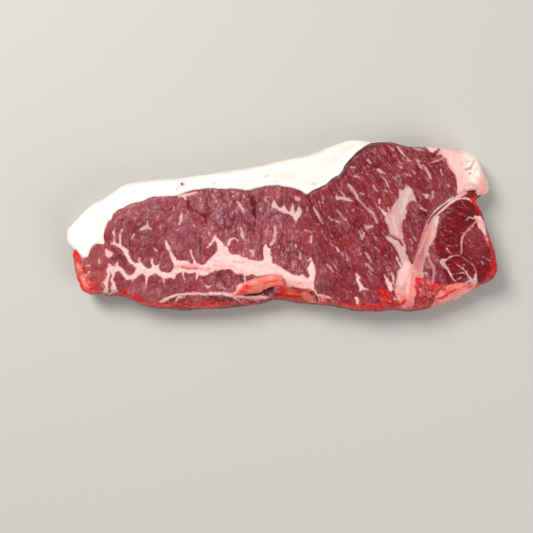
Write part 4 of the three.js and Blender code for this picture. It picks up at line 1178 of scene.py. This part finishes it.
class Graph:
    """A material's nodes, with a short call for each kind that the finishes use."""

    def __init__(self, name):
        self.material = bpy.data.materials.new(name)
        self.material.use_nodes = True
        self.tree = self.material.node_tree
        self.tree.nodes.clear()

    def add(self, kind, inputs, **settings):
        """A node with its settings. Inputs that are sockets are linked, and others are set."""
        node = self.tree.nodes.new(kind)
        for name, value in settings.items():
            setattr(node, name, value)
        for key, value in inputs.items():
            self.feed(node.inputs[key], value)
        return node

    def feed(self, socket, value):
        if isinstance(value, bpy.types.NodeSocket):
            self.tree.links.new(value, socket)
        else:
            socket.default_value = value

    def place(self):
        """Where the surface is, in millimetres."""
        found = self.add("ShaderNodeTexCoord", {}).outputs["Object"]
        return self.add("ShaderNodeVectorMath", {0: found, "Scale": 1 / MM}, operation="SCALE").outputs[0]

    def field(self, name):
        return self.add("ShaderNodeAttribute", {}, attribute_name=name).outputs["Vector"]

    def fields(self, name):
        return self.add("ShaderNodeSeparateXYZ", {0: self.field(name)}).outputs[:3]

    def math(self, operation, *values, clamp=False):
        inputs = dict(enumerate(values))
        return self.add("ShaderNodeMath", inputs, operation=operation, use_clamp=clamp).outputs[0]

    def chain(self, operation, values):
        out = values[0]
        for value in values[1:]:
            out = self.math(operation, out, value)
        return out

    def total(self, *values):
        return self.chain("ADD", values)

    def times(self, *values):
        return self.chain("MULTIPLY", values)

    def most(self, *values):
        return self.chain("MAXIMUM", values)

    def rest(self, value, clamp=False):
        """What a share leaves of 1."""
        return self.math("SUBTRACT", 1.0, value, clamp=clamp)

    def centred(self, value):
        """A noise that lies round 0.5, round 0."""
        return self.math("SUBTRACT", value, 0.5)

    def blended(self, shares, values):
        """The sum of values, each times its share."""
        return self.total(*(self.times(share, value) for share, value in zip(shares, values)))

    def ramp(self, value, low, high, to_low=0.0, to_high=1.0):
        inputs = {"Value": value, "From Min": low, "From Max": high, "To Min": to_low, "To Max": to_high}
        return self.add("ShaderNodeMapRange", inputs, interpolation_type="SMOOTHSTEP").outputs[0]

    def mix(self, share, a, b):
        """Two colours mixed, each a socket or 0-255 display values, with `share` of the second."""
        node = self.add("ShaderNodeMix", {}, data_type="RGBA", clamp_factor=True)
        sockets = {s.identifier: s for s in node.inputs}
        for key, value in (("Factor_Float", share), ("A_Color", a), ("B_Color", b)):
            self.feed(sockets[key], own(value) if isinstance(value, tuple) else value)
        return next(s for s in node.outputs if s.identifier == "Result_Color")

    def noise(self, vector, scale, detail=2.0, roughness=0.5, distortion=0.0):
        inputs = {"Vector": vector, "Scale": scale, "Detail": detail, "Roughness": roughness}
        inputs["Distortion"] = distortion
        return self.add("ShaderNodeTexNoise", inputs).outputs[0]

    def cells(self, vector, scale):
        """Small cells: their random shade, and how far each spot is from its cell's middle."""
        node = self.add("ShaderNodeTexVoronoi", {"Vector": vector, "Scale": scale})
        shade = self.add("ShaderNodeSeparateXYZ", {0: node.outputs["Color"]}).outputs[0]
        return shade, node.outputs["Distance"]

    def turned(self, vector, degrees, along, across):
        """Coordinates that run along a fibre direction, one unit for each feature."""
        inputs = {"Vector": vector, "Rotation": (0, 0, math.radians(degrees))}
        inputs["Scale"] = (along, across, across)
        return self.add("ShaderNodeMapping", inputs, vector_type="TEXTURE").outputs[0]


def fibres(g, place, degrees, along, across):
    """The grain of muscle fibres in one direction: their shade, and how high they stand."""
    turned = g.turned(place, degrees, along, across)
    bend = g.add("ShaderNodeTexNoise", {"Vector": place, "Scale": 0.3, "Detail": 1.0}).outputs["Color"]
    inputs = {0: bend, 1: (0.9, 0.9, 0.9), 2: turned}
    bent = g.add("ShaderNodeVectorMath", inputs, operation="MULTIPLY_ADD").outputs[0]
    shade, off_middle = g.cells(bent, 2.6)
    streaks = g.noise(bent, 1.0, detail=4.0, roughness=0.8)
    finer = g.noise(bent, 6.0, detail=1.0)
    shade = g.math("MULTIPLY_ADD", g.centred(shade), 0.16, streaks)
    shade = g.math("MULTIPLY_ADD", g.centred(finer), 0.4, shade)
    height = g.math("MULTIPLY_ADD", off_middle, -0.5, streaks)
    return shade, height


def fat_share(g, place, seam, fleck, cap, right, corner, wall):
    """How much of each spot is fat: ragged seams, soft flecks, fine marbling, and the cap's clean edge."""
    coarse = g.centred(g.noise(place, 0.6, detail=3.0, roughness=0.6))
    fine = g.centred(g.noise(place, 2.4))
    seam_depth = g.total(seam, g.times(coarse, SEAM_RAGGED[0]), g.times(fine, SEAM_RAGGED[1]))
    fleck_depth = g.total(fleck, g.times(coarse, FLECK_RAGGED[0]), g.times(fine, FLECK_RAGGED[1]))
    cap_depth = g.total(cap, g.times(fine, CAP_RAGGED))
    elsewhere = g.rest(g.total(right, corner))
    varied = g.ramp(g.noise(place, 0.22), 0.35, 0.65, 0.68, 1.0)
    softer = g.math("SUBTRACT", varied, g.times(g.total(right, corner), 0.18))
    in_fleck = g.times(g.ramp(fleck_depth, -0.4, 0.4), g.ramp(coarse, -0.3, 0.25, 0.65, 1.0), softer)

    # Short slivers lie along the fibres on the right and in the corner, and small dots on the left.
    patchy = g.ramp(g.noise(place, 0.09), 0.35, 0.65, 0.03, -0.03)
    slivers = g.total(g.noise(g.turned(place, -60, 3.2, 0.85), 1.0, distortion=0.7), patchy)
    ticks = g.noise(g.turned(place, -12, 2.6, 0.6), 1.0, roughness=0.6, distortion=1.2)
    dots = g.total(g.noise(place, 0.85, detail=2.5), patchy)
    marbling = g.blended((right, corner, elsewhere), (
        g.ramp(slivers, *SLIVERS),
        g.ramp(ticks, *TICKS),
        g.ramp(dots, *DOTS),
    ))
    in_lean = g.most(in_fleck, g.times(marbling, g.rest(wall)))
    return g.ramp(seam_depth, -0.35, 0.4), in_lean, g.ramp(cap_depth, -0.12, 0.15), seam_depth


def lean_colour(g, place, streaks, crease, painted_sheen, middle, right, corner):
    """The lean: deep red, with paler grains and fibres through it, the grains partly painted glints, and a
    painted cold sheen where it is granular.
    """
    lumps = g.noise(place, 0.42, detail=4.0, roughness=0.85)
    grains = g.total(g.times(streaks, 0.6), g.times(lumps, 0.4))
    # A few grains are far paler than the rest: partly paler tissue, partly painted glints.
    muscles = (middle, right, corner)
    contrast = g.total(CONTRAST[0], *map(g.times, muscles, CONTRAST[1:]))
    spread = g.math("EXPONENT", g.times(g.centred(grains), contrast))
    paleness = g.total(PALENESS[0], *map(g.times, muscles, PALENESS[1:]))
    patches = g.ramp(g.noise(place, 0.1, detail=3.0, roughness=0.7), 0.32, 0.68, 0.6, 1.5)
    # Painted sheen: granular spots get paler, colder grains, and the lean there turns bluer.
    granular_sheen = g.times(painted_sheen, g.ramp(g.noise(place, 1.1), 0.38, 0.6))
    share = g.times(spread, paleness, patches, g.rest(g.times(crease, 0.7)))
    share = g.times(share, g.total(1.0, g.times(granular_sheen, 0.7)))
    pale = g.mix(g.times(granular_sheen, 0.9), PALE_GRAIN_AND_GLINT, PAINTED_SHEEN_GRAIN)
    pale = g.mix(corner, pale, ROSE_GRAIN_AND_GLINT)
    redder = g.ramp(g.noise(place, 0.22, detail=3.0, roughness=0.6), 0.42, 0.66, 0.0, CRIMSON_SHOWS)
    colour = g.mix(redder, g.field("lean_tint"), CRIMSON)
    colour = g.mix(g.times(painted_sheen, PAINTED_SHEEN_SHOWS), colour, PAINTED_SHEEN_LEAN)
    # Painted shade in the creases and fissures, partly the deeper red there.
    colour = g.mix(g.times(crease, CREVICE_SHADE_SHOWS), colour, CREVICE_SHADE)
    return g.mix(g.math("MINIMUM", share, MOST_PALE), colour, pale), grains


def fat_colour(g, place, seam_depth, in_cap, right, corner):
    """The fat's own tint, with pink streaks along the seams and pinker along the edge with the lean."""
    to_right = g.total(right, corner)
    streaky = g.blended((to_right, g.rest(to_right)), [
        g.noise(g.turned(place, degrees, along, across), 1.0, detail=3.0, roughness=0.7)
        for degrees, along, across in ((68, 5.0, 1.1), (-8, 7.0, 1.3))
    ])
    mottled = g.noise(place, 0.45, detail=4.0, roughness=0.75)
    streaks = g.ramp(streaky, 0.5, 0.7, 0.0, PINK_SHOWS)
    mottles = g.ramp(mottled, 0.5, 0.68, 0.0, PINK_SHOWS)
    pinker = g.most(streaks, mottles, g.ramp(seam_depth, 0.0, 0.8, EDGE_SHOWS, 0.0))
    return g.mix(g.times(pinker, g.rest(in_cap)), g.field("fat_tint"), PINK_EDGE)


def wet_colour(g, place, wet, colour):
    """Dark clots and pale tufts in the raw red edges: the colour, and where it is wet and tufted."""
    wettish = g.ramp(wet, 0.25, 0.7)
    clots = g.ramp(g.noise(place, 0.6, detail=4.0, roughness=0.75), 0.5, 0.62)
    tufts = g.ramp(g.noise(place, 0.8, detail=3.0, roughness=0.6), 0.62, 0.7)
    colour = g.mix(g.times(clots, wettish, CLOTS_SHOW), colour, CLOT_RED)
    return g.mix(g.times(tufts, wettish, TUFTS_SHOW), colour, PALE_TISSUE), wettish, tufts


def meat_material():
    g = Graph("raw_meat")
    place = g.place()
    seam, fleck, cap = g.fields("depths")
    membrane_shade, slit_shade, wet = g.fields("marks")
    middle, right, corner = g.fields("grain")
    crease, painted_sheen, wall = g.fields("form")
    left = g.rest(g.total(middle, right, corner), clamp=True)

    muscles = (left, middle, right, corner)
    grained = [fibres(g, place, *fibre) for fibre in FIBRES]
    streaks = g.blended(muscles, [shade for shade, height in grained])
    relief = g.blended(muscles, [height for shade, height in grained])
    in_seam, in_lean, in_cap, seam_depth = fat_share(g, place, seam, fleck, cap, right, corner, wall)
    lean, grains = lean_colour(g, place, streaks, crease, painted_sheen, middle, right, corner)
    fat = fat_colour(g, place, seam_depth, in_cap, right, corner)

    colour = g.mix(in_lean, lean, g.mix(STRANDS_SHOW, lean, STRAND_FAT))
    colour = g.mix(in_seam, colour, fat)
    colour = g.mix(in_cap, colour, g.field("fat_tint"))
    streaky_membrane_shade = g.ramp(g.noise(g.turned(place, 48, 5.0, 1.2), 1.0, detail=3.0, roughness=0.7), 0.35, 0.7)
    # The band along the cap: membrane with painted shade, and a thin painted shadow further left.
    colour = g.mix(membrane_shade, colour, g.mix(streaky_membrane_shade, MEMBRANE_SHADE_BROWN, MEMBRANE_SHADE_PALE))
    colour, wettish, tufts = wet_colour(g, place, wet, colour)
    # Painted shade inside the slits, partly the deeper red of the cut flesh.
    colour = g.mix(slit_shade, colour, SLIT_SHADE_RED)

    # Relief too fine for the mesh: fibres and grains in the lean, ripples in the fat, tufts where raw.
    fibres_stand = g.math("MULTIPLY_ADD", wall, -FIBRES_LOWER, FIBRES_RISE)
    lean_height = g.math("MULTIPLY_ADD", relief, fibres_stand, g.times(grains, GRAINS_RISE))
    fat_height = g.total(g.times(g.noise(place, 0.9, detail=3.0), RIPPLES_RISE), FAT_RISE)
    fatty = g.most(in_seam, in_lean, in_cap)
    height = g.blended((fatty, g.rest(fatty)), (fat_height, lean_height))
    height = g.total(height, g.times(tufts, wettish, TUFTS_RISE))
    bump = g.add("ShaderNodeBump", {"Strength": 1.0, "Distance": BUMP_HEIGHT * MM, "Height": height})

    # The lean is wet and glossy, the cap duller, and the slits are dull.
    roughness = g.total(GLOSSY, g.times(g.noise(place, 1.3), GLOSS_VARIES))
    roughness = g.total(roughness, g.times(in_cap, CAP_DULLER), g.times(slit_shade, SLITS_DULLER))
    roughness = g.math("SUBTRACT", roughness, g.times(wettish, WET_GLOSSIER))
    shader = g.add("ShaderNodeBsdfPrincipled", {
        "Base Color": colour, "Roughness": roughness, "Normal": bump.outputs[0],
        "Subsurface Weight": GLOW, "Subsurface Radius": GLOW_SPREADS, "Subsurface Scale": GLOW_REACH * MM,
        "Specular IOR Level": SHINE,
    })
    g.add("ShaderNodeOutputMaterial", {"Surface": shader.outputs[0]})
    return g.material


def plain_material(name, seen, roughness):
    g = Graph(name)
    shader = g.add("ShaderNodeBsdfPrincipled", {"Base Color": own(seen), "Roughness": roughness})
    g.add("ShaderNodeOutputMaterial", {"Surface": shader.outputs[0]})
    return g.material


# ---------------------------------------------------------------- stage, light and camera
CAMERA_AT = (-0.0083, -0.022, 0.520)  # metres: straight above, a little below the steak's middle
CAMERA_LENS = 63.8  # millimetres
CAMERA_SENSOR = 36  # millimetres wide
CAMERA_NEAR = 0.01  # metres: nothing nearer is seen
FLOOR_SIZE = 12.0  # metres
FLOOR_SEEN = (196, 193, 187)
FLOOR_ROUGHNESS = 0.7
HORIZON_LIGHT = 0.42  # how bright the studio is near the floor, with 1 as white
OVERHEAD_LIGHT = 0.3  # how bright it is overhead
OVERHEAD_FROM = 0.7  # the rise of a direction from which on it counts as overhead


def add_object(name, data):
    holder = bpy.data.objects.new(name, data)
    bpy.context.scene.collection.objects.link(holder)
    return holder


def make_floor():
    half = FLOOR_SIZE / 2
    corners = [(-half, -half, 0), (half, -half, 0), (half, half, 0), (-half, half, 0)]
    mesh = bpy.data.meshes.new("floor")
    mesh.from_pydata(corners, [], [(0, 1, 2, 3)])
    mesh.materials.append(plain_material("floor", FLOOR_SEEN, FLOOR_ROUGHNESS))
    add_object("floor", mesh)


def make_lamp(name, at, size, power):
    """A square soft lamp that points at the steak, its place and size in metres and its power in watts."""
    lamp = bpy.data.lights.new(name, "AREA")
    lamp.size = size
    lamp.energy = power
    holder = add_object(name, lamp)
    holder.location = at
    holder.rotation_euler = (-holder.location).to_track_quat("-Z", "Y").to_euler()


def make_light():
    make_lamp("key", at=(-0.6, 0.65, 0.95), size=0.55, power=16)
    make_lamp("fill", at=(0.95, -0.65, 0.7), size=0.9, power=9)
    world = bpy.data.worlds.new("studio")
    world.use_nodes = True
    tree = world.node_tree
    direction = tree.nodes.new("ShaderNodeTexCoord").outputs["Generated"]
    height = tree.nodes.new("ShaderNodeSeparateXYZ")
    strength = tree.nodes.new("ShaderNodeMapRange")
    strength.inputs["From Max"].default_value = OVERHEAD_FROM
    strength.inputs["To Min"].default_value = HORIZON_LIGHT
    strength.inputs["To Max"].default_value = OVERHEAD_LIGHT
    tree.links.new(direction, height.inputs[0])
    tree.links.new(height.outputs["Z"], strength.inputs["Value"])
    background = tree.nodes["Background"]
    background.inputs["Color"].default_value = (1, 1, 1, 1)
    tree.links.new(strength.outputs[0], background.inputs["Strength"])
    bpy.context.scene.world = world


def make_camera():
    camera = bpy.data.cameras.new("camera")
    camera.sensor_width = CAMERA_SENSOR
    camera.lens = CAMERA_LENS
    camera.clip_start = CAMERA_NEAR
    holder = add_object("camera", camera)
    holder.location = CAMERA_AT
    bpy.context.scene.camera = holder


bpy.context.scene.view_settings.view_transform = "Standard"
make_camera()
make_light()
make_floor()
meat = make_meat()
meat.data.materials.append(meat_material())
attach(meat, "root")
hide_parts("steak")
